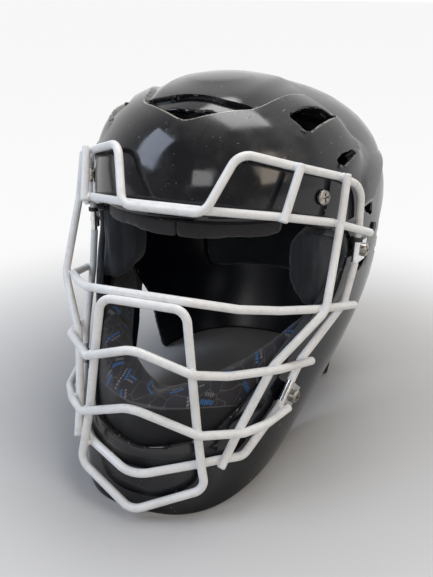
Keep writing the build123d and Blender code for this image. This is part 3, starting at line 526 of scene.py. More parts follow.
def printed_knit(name):
    """Brushed polyester knit over foam: near black, fine grey lines, rows of short printed marks."""
    material, node, place = finish_of(name)
    lay = node(ATTRIBUTE, attribute_name="cloth_mm").outputs["Vector"]
    seam = node(ATTRIBUTE, attribute_name="seam_mm").outputs["Fac"]
    flat = node(VECTOR, (lay, (MM, MM, MM)), **TIMES)
    printed = node(RANGE, (seam, -0.2, 0.3), **EASED)
    drift = node(VECTOR, (node(NOISE, (flat, 70.0)).outputs["Color"], 9.0), operation="SCALE")
    cracks = node(VORONOI, (node(VECTOR, (lay, drift)), 0.1), voronoi_dimensions="2D",
                  feature="DISTANCE_TO_EDGE")
    cracks = node(MATH, (node(RANGE, (cracks, 0.012, 0.035, 0.3, 0), **EASED), printed), **TIMES)
    ground = node(RAMP, (node(NOISE, (flat, PER_MM / 14, 4, 0.6)),), ((0.35, "#16151b"), (0.75, "#24222a")))
    colour = node(MIX, (printed, linear("#0d0e13"), ground), **TINT)
    colour = node(MIX, (cracks, colour, linear("#7b746e")), **TINT)
    # Each patch of about 11 mm holds a row of short strokes in blue and one in grey, turned its own way
    patch = node(VORONOI, {"Vector": lay, "Scale": 0.088, "Randomness": 0.7}, voronoi_dimensions="2D")
    chance = node("ShaderNodeSeparateColor", (patch.outputs["Color"],))
    local = node(VECTOR, (lay, patch.outputs["Position"]), operation="SUBTRACT")
    angle = node(MATH, (chance.outputs[0], 6.28), **TIMES)
    turned = node("ShaderNodeVectorRotate", {"Vector": local, "Angle": angle}, rotation_type="Z_AXIS")
    parts = node("ShaderNodeSeparateXYZ", (turned,))
    across, up = parts.outputs["X"], parts.outputs["Y"]
    strokes = node(RANGE, (node(MATH, (across, 0.8), operation="PINGPONG"), 0.22, 0.34), **EASED)
    from_middle = node(MATH, (across,), operation="ABSOLUTE")
    for start, tall, length, ink, pick, share in ((-0.2, 1.15, 4.4, "#2b6cad", chance.outputs[1], 0.8),
                                                  (3.0, 0.85, 3.4, "#8f8f92", chance.outputs[2], 0.6)):
        high = node(MATH, (node(MATH, (up, start), operation="SUBTRACT"),), operation="ABSOLUTE")
        row = node(RANGE, (high, tall - 0.2, tall, 1, 0), **EASED)
        for part in (node(RANGE, (from_middle, length - 0.3, length, 1, 0), **EASED), strokes,
                     node(RANGE, (pick, 0.38, 0.40), **EASED), share, printed):
            row = node(MATH, (row, part), **TIMES)
        colour = node(MIX, (row, colour, linear(ink)), **TINT)
    hem = node(RANGE, (node(MATH, (seam,), operation="ABSOLUTE"), 0.25, 0.6, 0.55, 0), **EASED)
    colour = node(MIX, (hem, colour, linear("#5c595c")), **TINT)
    ribs = node(WAVE, (lay, 0.9, 0.4, 1.0), wave_type="BANDS").outputs["Fac"]
    relief = node(MATH, (ribs, node(NOISE, (flat, PER_MM / 1.2, 2))))
    return join_shader(material, node, colour, 0.78, (relief, 0.25, 0.3),
                       {"Sheen Weight": 0.25, "Sheen Roughness": 0.45})


def elastic_webbing(name):
    """Woven polyester elastic: black, ribbed across every 1.5 mm, with a dull sheen."""
    material, node, place = finish_of(name)
    ribs = node(WAVE, (place, 210.0, 0.3), wave_type="BANDS", bands_direction="Z").outputs["Fac"]
    picks = node(WAVE, (place, 330.0, 0.5), wave_type="BANDS", bands_direction="Y").outputs["Fac"]
    weave = node(MATH, (ribs, picks), **TIMES)
    colour = node(RAMP, (weave,), ((0.1, "#0d0d0f"), (0.9, "#24252a")))
    return join_shader(material, node, colour, 0.7, (weave, 0.5, 0.3),
                       {"Sheen Weight": 0.3, "Sheen Roughness": 0.4})


shell_black = gloss_shell("polished_black_abs", "#090a11", "#3d3129")
plate_black = gloss_shell("polished_black_abs_plate", "#0b0b0d", "#352c26")
shell_inside = inner_shell("moulded_abs_inside")
wire_white = vinyl_wire("white_vinyl_dipped_wire")
chrome = plated_clip("bright_chromium_plate")
nickel = nickel_screw("dulled_nickel_plate")
rubber = plain_moulding("grey_moulded_rubber", "#1c1d1f", "#3b3d40", 0.55, 0.75, 0.8)
nylon = plain_moulding("matt_black_nylon", "#0f0f10", "#232427", 0.4, 0.6, 0.6)
foam = foam_pad("charcoal_eva_foam", "#181c22", "#282e36")
# The brow pads get a darker, warmer copy of the charcoal foam: painted shade for the shadow they sit in under
# the brow.
brow_foam_painted_shade = foam_pad("eva_foam_painted_shade", "#151416", "#242123")
knit = printed_knit("printed_polyester_knit")
webbing = elastic_webbing("black_woven_elastic")


def dress(names, material):
    """A better material on CAD nodes that keep their shape."""
    for name in names:
        piece = nodes[name]
        for socket in piece.material_slots:
            socket.material = material
        if not piece.material_slots:
            piece.data.materials.append(material)


cage = ["cage_frame_wire", "cage_brow_bar", "cage_eye_bar", "cage_mouth_loop", "cage_upper_mouth_bar",
        "cage_lower_mouth_bar", "cage_side_wire_left", "cage_side_wire_right",
        "cage_brow_strut_left", "cage_brow_strut_right"]
dress(cage, wire_white)
dress([f"clip_{level}_{side}" for level in ("upper", "lower") for side in ("left", "right")], chrome)
dress(["clip_screws", "clip_nuts", "temple_screws", "temple_nuts"], nickel)
dress(["wire_collars"], rubber)
dress(["strap_shell_rivets", "strap_plate_rivets"], nylon)

# The front shell: its outlines as distances, then its cuts, raised panels and rims
side_cut, face_cut = rounded(SHELL_SIDE, EDGE_CORNER), rounded(FACE_OPENING, FACE_CORNER)
slot_cut, crown_vent = rounded(CROWN_SLOT, SLOT_CORNER), rounded(CROWN_VENT, CROWN_VENT_CORNER)
vent_cuts = [(rounded(outline, VENT_CORNER), inner) for outline, inner in VENTS]
brow_line = rounded(BROW_PANEL, BROW_CORNER)
crown_line, rear_line = rounded(CROWN_PANEL, EDGE_CORNER), rounded(REAR_PANEL, EDGE_CORNER)
RIM_ROUND = 1.1
STEP_HALF = 0.9
PANEL_RISE = 2.5
FAR = 60.0
# Each outline counts only in its own part of the shell
OPENING_BACK = 20
SLOT_FOOT = 199
VENT_FOOT = 205
BROW_ZONE_FOOT, BROW_FOOT = 120, 159.4
CROWN_ZONE_FOOT = 200
REAR_ZONE_INNER = 40
# Where each panel has died out, and over how long a run
CROWN_FADE_X, CROWN_FADE_Y = (44, 16), (62, 22)
BROW_FADE_Y = (46, 50)
REAR_FADE_Y, REAR_FADE_Z = (-2, -24), (197, 18)
# The low band along the face opening and the ribs at the vents
BAND_RISE, BAND_WIDTH, BAND_RUN, BAND_HEAD = 0.9, 7, 2.5, 150
RIB_RISE, RIB_REACH, RIB_ZONE_FOOT = 1.3, 15, 190
# The worn lips: where the brow's line ends, where the rear panel's begins and ends, a line's distance
BROW_LIP_END, REAR_LIP_START, REAR_LIP_HEAD = (56, 24), 34, 191
LIP_OFFSET = 0.5
# Past this distance in millimetres a mark no longer shows; splits stop a little outside each cut
MARK_REACH = 12.0
CUT_MARGIN = 6
ROW_PITCH, COLUMNS = ((2.7, 150))
PLATE_PITCH = 2.8


def shell_depth(p):
    """How far each place lies inside the kept part of the front shell."""
    depth = depth_in(p[:, 1:], side_cut)
    face = -depth_in(p[:, ::2], face_cut)
    depth = np.minimum(depth, np.where(p[:, 1] < OPENING_BACK, face, FAR))
    slot = -depth_in(p[:, :2], slot_cut)
    depth = np.minimum(depth, np.where(p[:, 2] > SLOT_FOOT, slot, FAR))
    vent = -depth_in(p[:, :2], crown_vent)
    depth = np.minimum(depth, np.where(p[:, 2] > VENT_FOOT, vent, FAR))
    for outline, inner in vent_cuts:
        vent = -depth_in(p[:, 1:], outline)
        depth = np.minimum(depth, np.where(p[:, 0] > inner, vent, FAR))
    return np.minimum(depth, p[:, 2] + 1e-6)


def brow_depth(p):
    """How far each place lies inside the brow panel."""
    inside = np.minimum(depth_in(p[:, :2], brow_line), p[:, 2] - BROW_FOOT)
    return np.where(p[:, 2] > BROW_ZONE_FOOT, inside, -FAR)


def crown_depth(p):
    """How far each place lies inside the crown panel."""
    return np.where(p[:, 2] > CROWN_ZONE_FOOT, depth_in(p[:, :2], crown_line), -FAR)


def rear_depth(p):
    """How far each place lies inside the rear panel."""
    return np.where(p[:, 0] > REAR_ZONE_INNER, depth_in(p[:, 1:], rear_line), -FAR)


def until(values, place, run):
    """1 well before a place, easing to 0 at it over a run; a run below 0 turns it round."""
    return ease((place - values) / run)


def rim_round(rim):
    """How far a rounded rim draws in at each distance from it."""
    return RIM_ROUND * (1 - np.sqrt(np.clip(1 - (1 - np.minimum(rim / RIM_ROUND, 1)) ** 2, 0, 1)))


shell = Skin(SHELL_LEVELS, 0.0, 2.0, ROW_PITCH, COLUMNS)
for measure in (brow_depth, crown_depth, rear_depth):
    for level in (-STEP_HALF, STEP_HALF):
        shell.split(measure, level)
shell.keep(lambda p: shell_depth(p) + CUT_MARGIN)
for level in (RIM_ROUND, 0.3 * RIM_ROUND, 0.0):
    shell.split(shell_depth, level)
shell.keep(shell_depth)

base = shell.places()
rim = np.maximum(shell_depth(base), 0)
steps = [measure(base) for measure in (brow_depth, crown_depth, rear_depth)]
brow_up, crown_up, rear_up = [ease((d + STEP_HALF) / (2 * STEP_HALF)) for d in steps]
crown_up = crown_up * until(base[:, 0], *CROWN_FADE_X) * until(base[:, 1], *CROWN_FADE_Y)
brow_up = brow_up * until(base[:, 1], *BROW_FADE_Y)
rear_up = rear_up * until(base[:, 1], *REAR_FADE_Y) * until(base[:, 2], *REAR_FADE_Z)
raised = np.maximum.reduce([brow_up, crown_up, rear_up])
# A low band stands proud along the face opening, and the ribs between the vents lift at their top edges
face_rim = -depth_in(base[:, ::2], face_cut)
low_band = np.where((base[:, 1] < OPENING_BACK) & (base[:, 2] < BAND_HEAD),
                    1 - ease((face_rim - BAND_WIDTH) / BAND_RUN), 0)
(x0, y0), (x1, y1) = CROWN_RIB
out_from_rib = base[:, 0] - x0 - (base[:, 1] - y0) * (x1 - x0) / (y1 - y0)
crown_gap = np.where(base[:, 2] > RIB_ZONE_FOOT, -depth_in(base[:, :2], crown_vent), FAR)
(y0, z0), (y1, z1) = SIDE_RIB
under_rib = z0 + (base[:, 1] - y0) * (z1 - z0) / (y1 - y0) - base[:, 2]
side_gap = np.where(base[:, 0] > VENTS[0][1], -depth_in(base[:, 1:], vent_cuts[0][0]), FAR)
lift = np.maximum(np.where(out_from_rib > -2, 1 - ease(crown_gap / RIB_REACH), 0),
                  np.where(under_rib > -1, 1 - ease(side_gap / RIB_REACH), 0))
outer = PANEL_RISE * raised + BAND_RISE * low_band + RIB_RISE * lift - rim_round(rim)
inner = -SHELL_WALL + rim_round(rim)
# The lips that wear pale: the brow's and the rear panel's edges, then the edges of the two ribs
lip = np.minimum.reduce([
    np.where((base[:, :2] < BROW_LIP_END).all(axis=1), np.abs(steps[0] - STEP_HALF), MARK_REACH),
    np.where((base[:, 1] > REAR_LIP_START) & (base[:, 2] < REAR_LIP_HEAD),
             np.abs(steps[2] - STEP_HALF), MARK_REACH),
    np.where(out_from_rib > -1, np.abs(crown_gap - LIP_OFFSET), MARK_REACH),
    np.where(under_rib > -LIP_OFFSET, np.abs(side_gap - LIP_OFFSET), MARK_REACH)])
front_shell = wall_mesh("front_shell_skin", shell, outer, inner,
                        {"rim_mm": np.minimum(rim, MARK_REACH), "lip_mm": np.minimum(lip, MARK_REACH)},
                        [shell_black, shell_inside])
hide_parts("front_shell")
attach(front_shell, FRONT)

# The back plate, which slides under the shell's rear edge
plate_cut = rounded(PLATE_SIDE, PLATE_CORNER)
slot_cuts = [rounded(outline, PLATE_SLOT_CORNER) for outline in PLATE_SLOTS]


def plate_depth(p):
    """How far each place lies inside the kept part of the back plate."""
    depth = depth_in(p[:, 1:], plate_cut)
    for outline in slot_cuts:
        depth = np.minimum(depth, -depth_in(p[:, ::2], outline))
    return np.minimum(depth, p[:, 2] + 1e-6)


plate = Skin(PLATE_LEVELS, 0.0, 1.0, PLATE_PITCH, COLUMNS)
plate.keep(lambda p: plate_depth(p) + CUT_MARGIN)
for level in (RIM_ROUND, 0.3 * RIM_ROUND, 0.0):
    plate.split(plate_depth, level)
plate.keep(plate_depth)
base = plate.places()
rim = np.maximum(plate_depth(base), 0)
back_plate = wall_mesh("back_plate_skin", plate, -PLATE_INSET - rim_round(rim),
                       -PLATE_INSET - PLATE_WALL + rim_round(rim),
                       {"rim_mm": np.minimum(rim, MARK_REACH), "lip_mm": np.full(len(rim), MARK_REACH)},
                       [plate_black, shell_inside])
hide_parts("back_plate")
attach(back_plate, REAR)


def inside_shell(levels, places, grow):
    """Places in millimetres moved in, level by level, until they lie within a shell's face."""
    share = np.clip(places[:, 2] / (SHELL_HEIGHT + grow), 0, 0.999)
    row = level_rows(levels, share)
    widest = row[:, 3] * HALF_LENGTH
    half = row[:, 1] * HALF_WIDTH + grow
    ahead = places[:, 1] < widest
    reach = np.where(ahead, widest - row[:, 2] * HALF_LENGTH, row[:, 4] * HALF_LENGTH - widest) + grow
    fullness = np.where(ahead, row[:, 5], row[:, 6])
    across, along = np.abs(places[:, 0]) / half, np.abs(places[:, 1] - widest) / reach
    size = (across**fullness + along**fullness) ** (1 / fullness)
    pull = np.where(size > 1, 1 / np.maximum(size, 1e-6), 1)
    out = places.copy()
    out[:, 0] *= pull
    out[:, 1] = widest + (places[:, 1] - widest) * pull
    return out


def merged_copy(name, label):
    """A new piece with the CAD node's shape, its loose triangles joined."""
    mesh = nodes[name].data.copy()
    mesh.name = label
    work = bmesh.new()
    work.from_mesh(mesh)
    bmesh.ops.remove_doubles(work, verts=work.verts, dist=1e-5)
    bmesh.ops.recalc_face_normals(work, faces=work.faces)
    work.to_mesh(mesh)
    work.free()
    mesh.materials.clear()
    return placed(label, mesh)


def settled(piece):
    """The piece with its modifiers worked out and removed."""
    view = bpy.context.evaluated_depsgraph_get()
    mesh = bpy.data.meshes.new_from_object(piece.evaluated_get(view), depsgraph=view)
    mesh.name = piece.name
    old = piece.data
    piece.modifiers.clear()
    piece.data = mesh
    bpy.data.meshes.remove(old)
    return piece


def places_of(piece):
    """A mesh's points in millimetres."""
    flat = np.empty(len(piece.data.vertices) * 3, np.float32)
    piece.data.vertices.foreach_get("co", flat)
    return flat.reshape(-1, 3).astype(float) / MM


def set_places(piece, places):
    """Puts points in millimetres back on a mesh."""
    piece.data.vertices.foreach_set("co", (places * MM).astype(np.float32).ravel())
    piece.data.update()


# Pads: name, body, levels of the wall behind, its inner face, swell limit in millimetres, fill
PADS = [(f"{kind}_pad_{side}", FRONT, SHELL_LEVELS, -4.4, swell, fill)
        for kind, swell, fill in (("brow", 2.2, 0.7), ("cheek", 1.6, 0.9), ("temple", 1.6, 0.8))
        for side in ("left", "right")]
PADS += [("crown_pad", FRONT, SHELL_LEVELS, -4.4, 2.2, 0.7), ("jaw_pad", FRONT, SHELL_LEVELS, -4.9, 2.6, 0.7)]
PADS += [(f"rear_pad_{level}", REAR, PLATE_LEVELS, -10.7, 2.0, 0.7) for level in ("upper", "lower")]
VOXEL_MM = 4.0
SWELL_PRESSURE = 4.0
SWELL_FRAMES = 20
# Squareness of a pad's outline and how much of it is taken up
CHEEK_POWER, BROW_POWER, SQUARENESS = 8, 5, 0.85
BROW_MEETING, BROW_SHIFT = 26, 7
CHEEK_WIDER, CHEEK_DEEPER = 1.13, 1.2
RIB_HEIGHT, RIB_SPREAD, RIB_SHARES = 1.2, 1.6, (0.36, 0.7)
# The jaw pad's seam: its height at the chin, how fast it falls to the sides, how far it is marked
SEAM_HEIGHT, SEAM_FALL, SEAM_REACH = 69, 0.0035, 20
EDGE_REACH = 9.0
# Cloth runs this many millimetres to a radian round the head, and round a pad's section
LAY_AROUND, LAY_SECTION = 118, 15


def shaped(name, places):
    """A pad's form brought nearer to the real one: squarer corners, cheek facets, brow lobes that meet."""
    if not name.startswith(("cheek_pad", "brow_pad")):
        return places
    cheek = name.startswith("cheek_pad")
    low, high = places.min(0), places.max(0)
    pair = [1, 2] if cheek else [0, 2]
    middle, half = ((low + high) / 2)[pair], ((high - low) / 2)[pair]
    local = (places[:, pair] - middle) / half
    power = CHEEK_POWER if cheek else BROW_POWER
    square = (np.abs(local) ** power).sum(1) ** (1 / power)
    out = places.copy()
    stretch = (np.linalg.norm(local, axis=1) / np.maximum(square, 1e-6)) ** SQUARENESS
    out[:, pair] = middle + np.clip(local * stretch[:, None], -1, 1) * half
    side = np.sign(low[0] + high[0])
    across = out[:, 0] * side
    if cheek:
        across = across.max() - (across.max() - across) * CHEEK_WIDER
        along = low[1] + (out[:, 1] - low[1]) * CHEEK_DEEPER
        inner = ease((across.min() + 9 - across) / 5)
        front = ease((low[1] + 9 - along) / 5)
        for part in RIB_SHARES:
            across = across + RIB_HEIGHT * inner * np.exp(-((along - low[1] - 35 * part) / RIB_SPREAD) ** 2)
            along = along + RIB_HEIGHT * front * np.exp(-((across - 57 - 33 * part) / RIB_SPREAD) ** 2)
        out[:, 1] = along
    else:
        across = np.maximum(across - np.clip((BROW_MEETING - across) / BROW_MEETING, 0, 1) * BROW_SHIFT, 0.3)
    out[:, 0] = across * side
    return out


pads, starts = {}, {}
for name, body, levels, face, cap, fill in PADS:
    piece = merged_copy(name, name + "_cushion")
    shape = piece.modifiers.new("shape", "REMESH")
    shape.mode = "VOXEL"
    shape.voxel_size = VOXEL_MM * MM
    settled(piece)
    starts[name] = places_of(piece)
    pads[name] = piece
    swell = piece.modifiers.new("swell", "CLOTH")
    swell.settings.use_pressure = True
    swell.settings.uniform_pressure_force = SWELL_PRESSURE
    swell.settings.effector_weights.gravity = 0.0
    swell.settings.quality = 5
    swell.point_cache.frame_start = 1
    swell.point_cache.frame_end = SWELL_FRAMES
for step in range(SWELL_FRAMES):
    bpy.context.scene.frame_set(step + 1)
for name, body, levels, face, cap, fill in PADS:
    settled(pads[name])
    shift = places_of(pads[name]) - starts[name]
    length = np.linalg.norm(shift, axis=1, keepdims=True)
    set_places(pads[name], starts[name] + shift * np.minimum(1, cap / np.maximum(length, 1e-6)))
bpy.context.scene.frame_set(1)


def cloth_lay(places, levels, face):
    """Along the wall, then round the pad's section from its middle, in millimetres."""
    share = np.clip(places[:, 2] / SHELL_HEIGHT, 0, 0.999)
    row = level_rows(levels, share)
    widest = row[:, 3] * HALF_LENGTH
    angle = np.arctan2(places[:, 0] / HALF_WIDTH, -(places[:, 1] - widest) / HALF_LENGTH)
    skin = skin_places(levels, angle, share, face)
    depth = np.linalg.norm(skin[:, :2] - places[:, :2], axis=1)
    stations = np.linspace(angle.min(), angle.max(), 25)
    near = np.abs(angle[None, :] - stations[:, None]) < (stations[1] - stations[0]) * 0.7
    centres = []
    for values in (depth, places[:, 2]):
        spans = [(values[pick].min() + values[pick].max()) / 2 if pick.any() else values.mean()
                 for pick in near]
        centres.append(np.interp(angle, stations, spans))
    turn = np.arctan2(places[:, 2] - centres[1], depth - centres[0])
    return np.stack([angle * LAY_AROUND, turn * LAY_SECTION, np.zeros(len(places))], axis=1)


for name, body, levels, face, cap, fill in PADS:
    piece = pads[name]
    finer = piece.modifiers.new("finer", "SUBSURF")
    finer.levels = finer.render_levels = 1
    settled(piece)
    places = inside_shell(levels, shaped(name, places_of(piece)), face)
    set_places(piece, places)
    mark(piece.data, "cloth_mm", cloth_lay(places, levels, face))
    edge = np.full(len(places), EDGE_REACH)
    if name.startswith("cheek_pad"):
        inward = np.abs(places[:, 0]) - np.abs(places[:, 0]).min()
        for from_end in (places[:, 1] - places[:, 1].min(), places[:, 1].max() - places[:, 1]):
            edge = np.minimum(edge, np.abs(inward - from_end) + np.maximum(inward + from_end - EDGE_REACH, 0))
    seam = np.clip(places[:, 2] - SEAM_HEIGHT + SEAM_FALL * places[:, 0] ** 2, -SEAM_REACH, SEAM_REACH)
    mark(piece.data, "edge_mm", edge)
    mark(piece.data, "seam_mm", seam)
    piece.data.materials.clear()
    # The brow pads take the foam copy with painted shade.
    piece.data.materials.append(knit if name == "jaw_pad" else brow_foam_painted_shade if name.startswith("brow") else foam)
    piece.data.polygons.foreach_set("use_smooth", [True] * len(piece.data.polygons))
    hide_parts(name)
    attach(piece, body)


def band_mesh(name, rows, sign, depth_of, thick):
    """A flat band under the shell, from rows of angle and height share pairs, on one side or across."""
    columns = len(rows[0])
    points, faces = [], []
    for below in (0, thick):
        for row in rows:
            row = np.array(row)
            grow = depth_of(skin_places(SHELL_LEVELS, row[:, 0], row[:, 1], 0)) - below
            shares = row[:, 1] * SHELL_HEIGHT / (SHELL_HEIGHT + grow)
            places = skin_places(SHELL_LEVELS, row[:, 0], shares, grow)
            points += (places * (sign, 1, 1) * MM).tolist()
    half = len(points) // 2
    for j in range(len(rows) - 1):
        for i in range(columns - 1):
            a = j * columns + i
            quad = (a, a + 1, a + columns + 1, a + columns)
            faces += [quad, tuple(v + half for v in reversed(quad))]
    ring = [i for i in range(columns)] + [j * columns + columns - 1 for j in range(1, len(rows))]
    ring += [(len(rows) - 1) * columns + i for i in range(columns - 2, -1, -1)]
    ring += [j * columns for j in range(len(rows) - 2, 0, -1)]
    for a, b in zip(ring, ring[1:] + ring[:1]):
        faces.append((b, a, a + half, b + half))
    mesh = bpy.data.meshes.new(name)
    mesh.from_pydata(points, [], faces)
    mesh.materials.append(webbing)
    piece = finished_piece(mesh, BAND_CREASE)
    return piece


def by_halves(low, high, short_of):
    """The place between two bounds up to which a test holds."""
    for turn in range(40):
        middle = (low + high) / 2
        low, high = (middle, high) if short_of(middle) else (low, middle)
    return (low + high) / 2


def angle_at(along, share):
    """The angle at which the strap's layer on the left reaches a Y place, at a height share."""
    return by_halves(0.0, math.pi, lambda angle: skin_places(
        SHELL_LEVELS, angle, [share], STRAP_GROW)[0, 1] < along)


def strap_depth(p):
    """Every strap lies the same depth under the shell's face."""
    return np.full(len(p), -STRAP_INSET)


heights = [STRAP_SHARE + off * STRAP_WIDTH / SHELL_HEIGHT for off in STRAP_STEPS]
for side, sign in (("left", 1), ("right", -1)):
    rows = [[(angle_at(y, share), share) for share in heights] for y in np.linspace(*SIDE_STRAP_ENDS, 26)]
    strap = band_mesh(f"side_strap_band_{side}", rows, sign, strap_depth, STRAP_THICK)
    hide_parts(f"side_strap_{side}")
    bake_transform(strap)
top_rows = []
for share in np.linspace(*TOP_STRAP_SHARES, 24):
    full_turn = STRAP_WIDTH / skin_places(SHELL_LEVELS, [math.pi / 2], [share], STRAP_GROW)[0, 0]
    top_rows.append([(math.pi + step * full_turn, share) for step in STRAP_STEPS])
top_band = band_mesh("top_strap_band", top_rows, 1, strap_depth, STRAP_THICK)
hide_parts("top_strap")
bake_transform(top_band)


def angle_across(across, share, grow):
    """The angle at which a shell's front reaches an X place, at a height share."""
    return by_halves(0.0, math.pi / 2, lambda angle: skin_places(
        SHELL_LEVELS, angle, [share], grow)[0, 0] < across)


# Foam beading along the sides of the face opening
TRIM_RADIUS, TRIM_INSET, TRIM_SIDES = 2.5, -2, 12
TRIM_HEIGHTS = (74, 160)
# The opening's side as heights and half widths, and how far the beading lies inside it
OPENING_HEIGHTS = (70, 108, 134.5, 151.9, 166)
OPENING_HALVES = (60, 86, 95.6, 93.4, 78)
TRIM_MARGIN = 1
for side, sign in (("left", 1), ("right", -1)):
    line = []
    for height in np.linspace(*TRIM_HEIGHTS, 44):
        across = np.interp(height, OPENING_HEIGHTS, OPENING_HALVES) - TRIM_MARGIN
        share = height / SHELL_HEIGHT
        angle = angle_across(across, share, TRIM_INSET)
        line.append(skin_places(SHELL_LEVELS, [angle], [share], TRIM_INSET)[0] * (sign, 1, 1))
    line = np.array(line)
    ahead_of = np.gradient(line, axis=0)
    ahead_of /= np.linalg.norm(ahead_of, axis=1, keepdims=True)
    flat_out = np.cross(ahead_of, (0, -1, 0))
    flat_out /= np.linalg.norm(flat_out, axis=1, keepdims=True)
    forward = np.cross(flat_out, ahead_of)
    points, faces = [], []
    ring = np.linspace(0, 2 * math.pi, TRIM_SIDES + 1)[:-1]
    for place, out_way, on_way in zip(line, flat_out, forward):
        spokes = [TRIM_RADIUS * (math.cos(turn) * out_way + math.sin(turn) * on_way) for turn in ring]
        points += [((place + spoke) * MM).tolist() for spoke in spokes]
    for row in range(len(line) - 1):
        for step in range(TRIM_SIDES):
            low, on = row * TRIM_SIDES, (step + 1) % TRIM_SIDES
            faces.append((low + step, low + on, low + TRIM_SIDES + on, low + TRIM_SIDES + step))
    faces += [tuple(range(TRIM_SIDES)), tuple(range(len(points) - TRIM_SIDES, len(points)))]
    mesh = bpy.data.meshes.new(f"face_edge_beading_{side}")
    mesh.from_pydata(points, [], faces)
    mark(mesh, "edge_mm", np.full(len(points), EDGE_REACH))
    mesh.materials.append(foam)
    beading = finished_piece(mesh, BAND_CREASE)
    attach(beading, FRONT)


GUSSET_THICK, GUSSET_INSET, GUSSET_DROP = 0.9, 6.5, 4.6
# Where the seam band starts round the helmet, and how far it reaches above and below the seam
GUSSET_START = 1.99
GUSSET_REACH = (-9, 17)


def seam_share(angle):
    """The height share at which the front shell's rear edge crosses an angle."""
    return by_halves(0.60, 0.97, lambda share: depth_in(
        skin_places(SHELL_LEVELS, [angle], [share], 0)[:, 1:], side_cut)[0] <= 0)


def gusset_depth(p):
    """From under the shell's edge, across the open seam, to under the plate's edge."""
    across = -depth_in(p[:, 1:], side_cut)
    return -GUSSET_INSET - GUSSET_DROP * ease((across + 0.5) / 5.5)


# An elastic gusset lines the seam between shell and plate, so no light shows through it
half_turns = np.linspace(GUSSET_START, math.pi, 60)
turns = np.concatenate([half_turns, 2 * math.pi - half_turns[-2::-1]])
seam = [seam_share(min(turn, 2 * math.pi - turn)) for turn in turns]
gusset_rows = [[(turn, share - drop / SHELL_HEIGHT) for drop in np.linspace(*GUSSET_REACH, 15)]
               for turn, share in zip(turns, seam)]
gusset = band_mesh("seam_gusset", gusset_rows, 1, gusset_depth, GUSSET_THICK)
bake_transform(gusset)


def bead_maker(name):
    """A tree that puts a flattened bead on each point, turned to the point's facing."""
    tree = bpy.data.node_groups.new(name, "GeometryNodeTree")
    sockets = {}
    for label, kind, way in (("Geometry", "Geometry", "INPUT"), ("Radius", "Float", "INPUT"),
                             ("Flatness", "Float", "INPUT"), ("Finish", "Material", "INPUT"),
                             ("Beads", "Geometry", "OUTPUT")):
        made = tree.interface.new_socket(name=label, in_out=way, socket_type=f"NodeSocket{kind}")
        sockets[label] = made.identifier
    given = tree.nodes.new("NodeGroupInput").outputs
    bead = add(tree, "GeometryNodeMeshIcoSphere", {"Radius": given["Radius"], "Subdivisions": 3})
    squash = add(tree, "ShaderNodeCombineXYZ", {"X": 1.0, "Y": 1.0, "Z": given["Flatness"]})
    flat = add(tree, "GeometryNodeTransform", {"Geometry": bead, "Scale": squash})
    facing = add(tree, "GeometryNodeInputNamedAttribute", {"Name": "facing"}, data_type="FLOAT_VECTOR")
    turn = add(tree, "FunctionNodeAlignRotationToVector", {"Vector": facing}, axis="Z")
    points = add(tree, "GeometryNodeMeshToPoints", {"Mesh": given["Geometry"]})
    copies = add(tree, "GeometryNodeInstanceOnPoints", {"Points": points, "Instance": flat, "Rotation": turn})
    real = add(tree, "GeometryNodeRealizeInstances", {"Geometry": copies})
    shaded = add(tree, "GeometryNodeSetShadeSmooth", {"Geometry": real})
    done = add(tree, "GeometryNodeSetMaterial", {"Geometry": shaded, "Material": given["Finish"]})
    add(tree, "NodeGroupOutput", (done,))
    return tree, sockets


# Weld beads between crossing wires, dipped with them: places as shares of half width, half length and height
CROSSINGS = [
    (0.629, -0.321, 0.835), (0.832, -0.115, 0.783), (0.586, -0.416, 0.721), (0.829, -0.178, 0.669),
    (0.940, 0.006, 0.614), (0.902, -0.089, 0.415), (0.824, -0.356, 0.468), (0.295, -0.832, 0.406),
    (0.638, -0.556, 0.351), (0.739, -0.375, 0.319), (0.336, -0.857, 0.249), (0.518, -0.722, 0.217),
    (0.661, -0.514, 0.213), (0.431, -0.794, 0.145), (0.345, -0.852, 0.149),
]
# The cage runs round an oval: its middle and its length as shares of the half length
CAGE_MIDDLE, CAGE_LENGTH = 0.311, 1.245
BEAD_OUT, BEAD_RADIUS, BEAD_FLATNESS = 2.72, 2.9, 0.62
bead_points, bead_facings = [], []
for across, along, up in CROSSINGS:
    for sign in (1, -1):
        lean = np.array([across / HALF_WIDTH, (along - CAGE_MIDDLE) / (CAGE_LENGTH**2 * HALF_LENGTH), 0])
        lean *= (sign, 1, 1)
        lean /= np.linalg.norm(lean)
        spot = np.array([sign * across * HALF_WIDTH, along * HALF_LENGTH, up * SHELL_HEIGHT])
        bead_points.append((spot + lean * BEAD_OUT) * MM)
        bead_facings.append(lean)
mesh = bpy.data.meshes.new("cage_weld_beads")
mesh.from_pydata([point.tolist() for point in bead_points], [], [])
mark(mesh, "facing", bead_facings)
beads = placed(mesh.name, mesh)
maker = beads.modifiers.new("maker", "NODES")
maker.node_group, sockets = bead_maker("weld_beads")
maker[sockets["Radius"]] = BEAD_RADIUS * MM
maker[sockets["Flatness"]] = BEAD_FLATNESS
maker[sockets["Finish"]] = wire_white
settled(beads)
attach(beads, FRONT)

# Floor, backdrop light and lamps
WHITE = (1, 1, 1, 1)
ROOM_LIGHT = 0.28
mesh = bpy.data.meshes.new("studio_floor")
mesh.from_pydata([(-6, -6, 0), (6, -6, 0), (6, 6, 0), (-6, 6, 0)], [], [(0, 1, 2, 3)])
floor = placed("studio_floor", mesh)
paper = bpy.data.materials.new("matt_white_paper")
paper.use_nodes = True
tree = paper.node_tree
tree.nodes.clear()
rays = add(tree, "ShaderNodeLightPath").outputs
seen = rays["Is Camera Ray"]
for other in ("Is Glossy Ray", "Is Transmission Ray"):
    seen = add(tree, MATH, (seen, rays[other]), operation="MAXIMUM")
spot = add(tree, "ShaderNodeTexCoord").outputs["Object"]
matt = add(tree, "ShaderNodeBsdfDiffuse", {"Color": linear("#bfbfbf")})
away = add(tree, VECTOR, (spot,), operation="LENGTH")
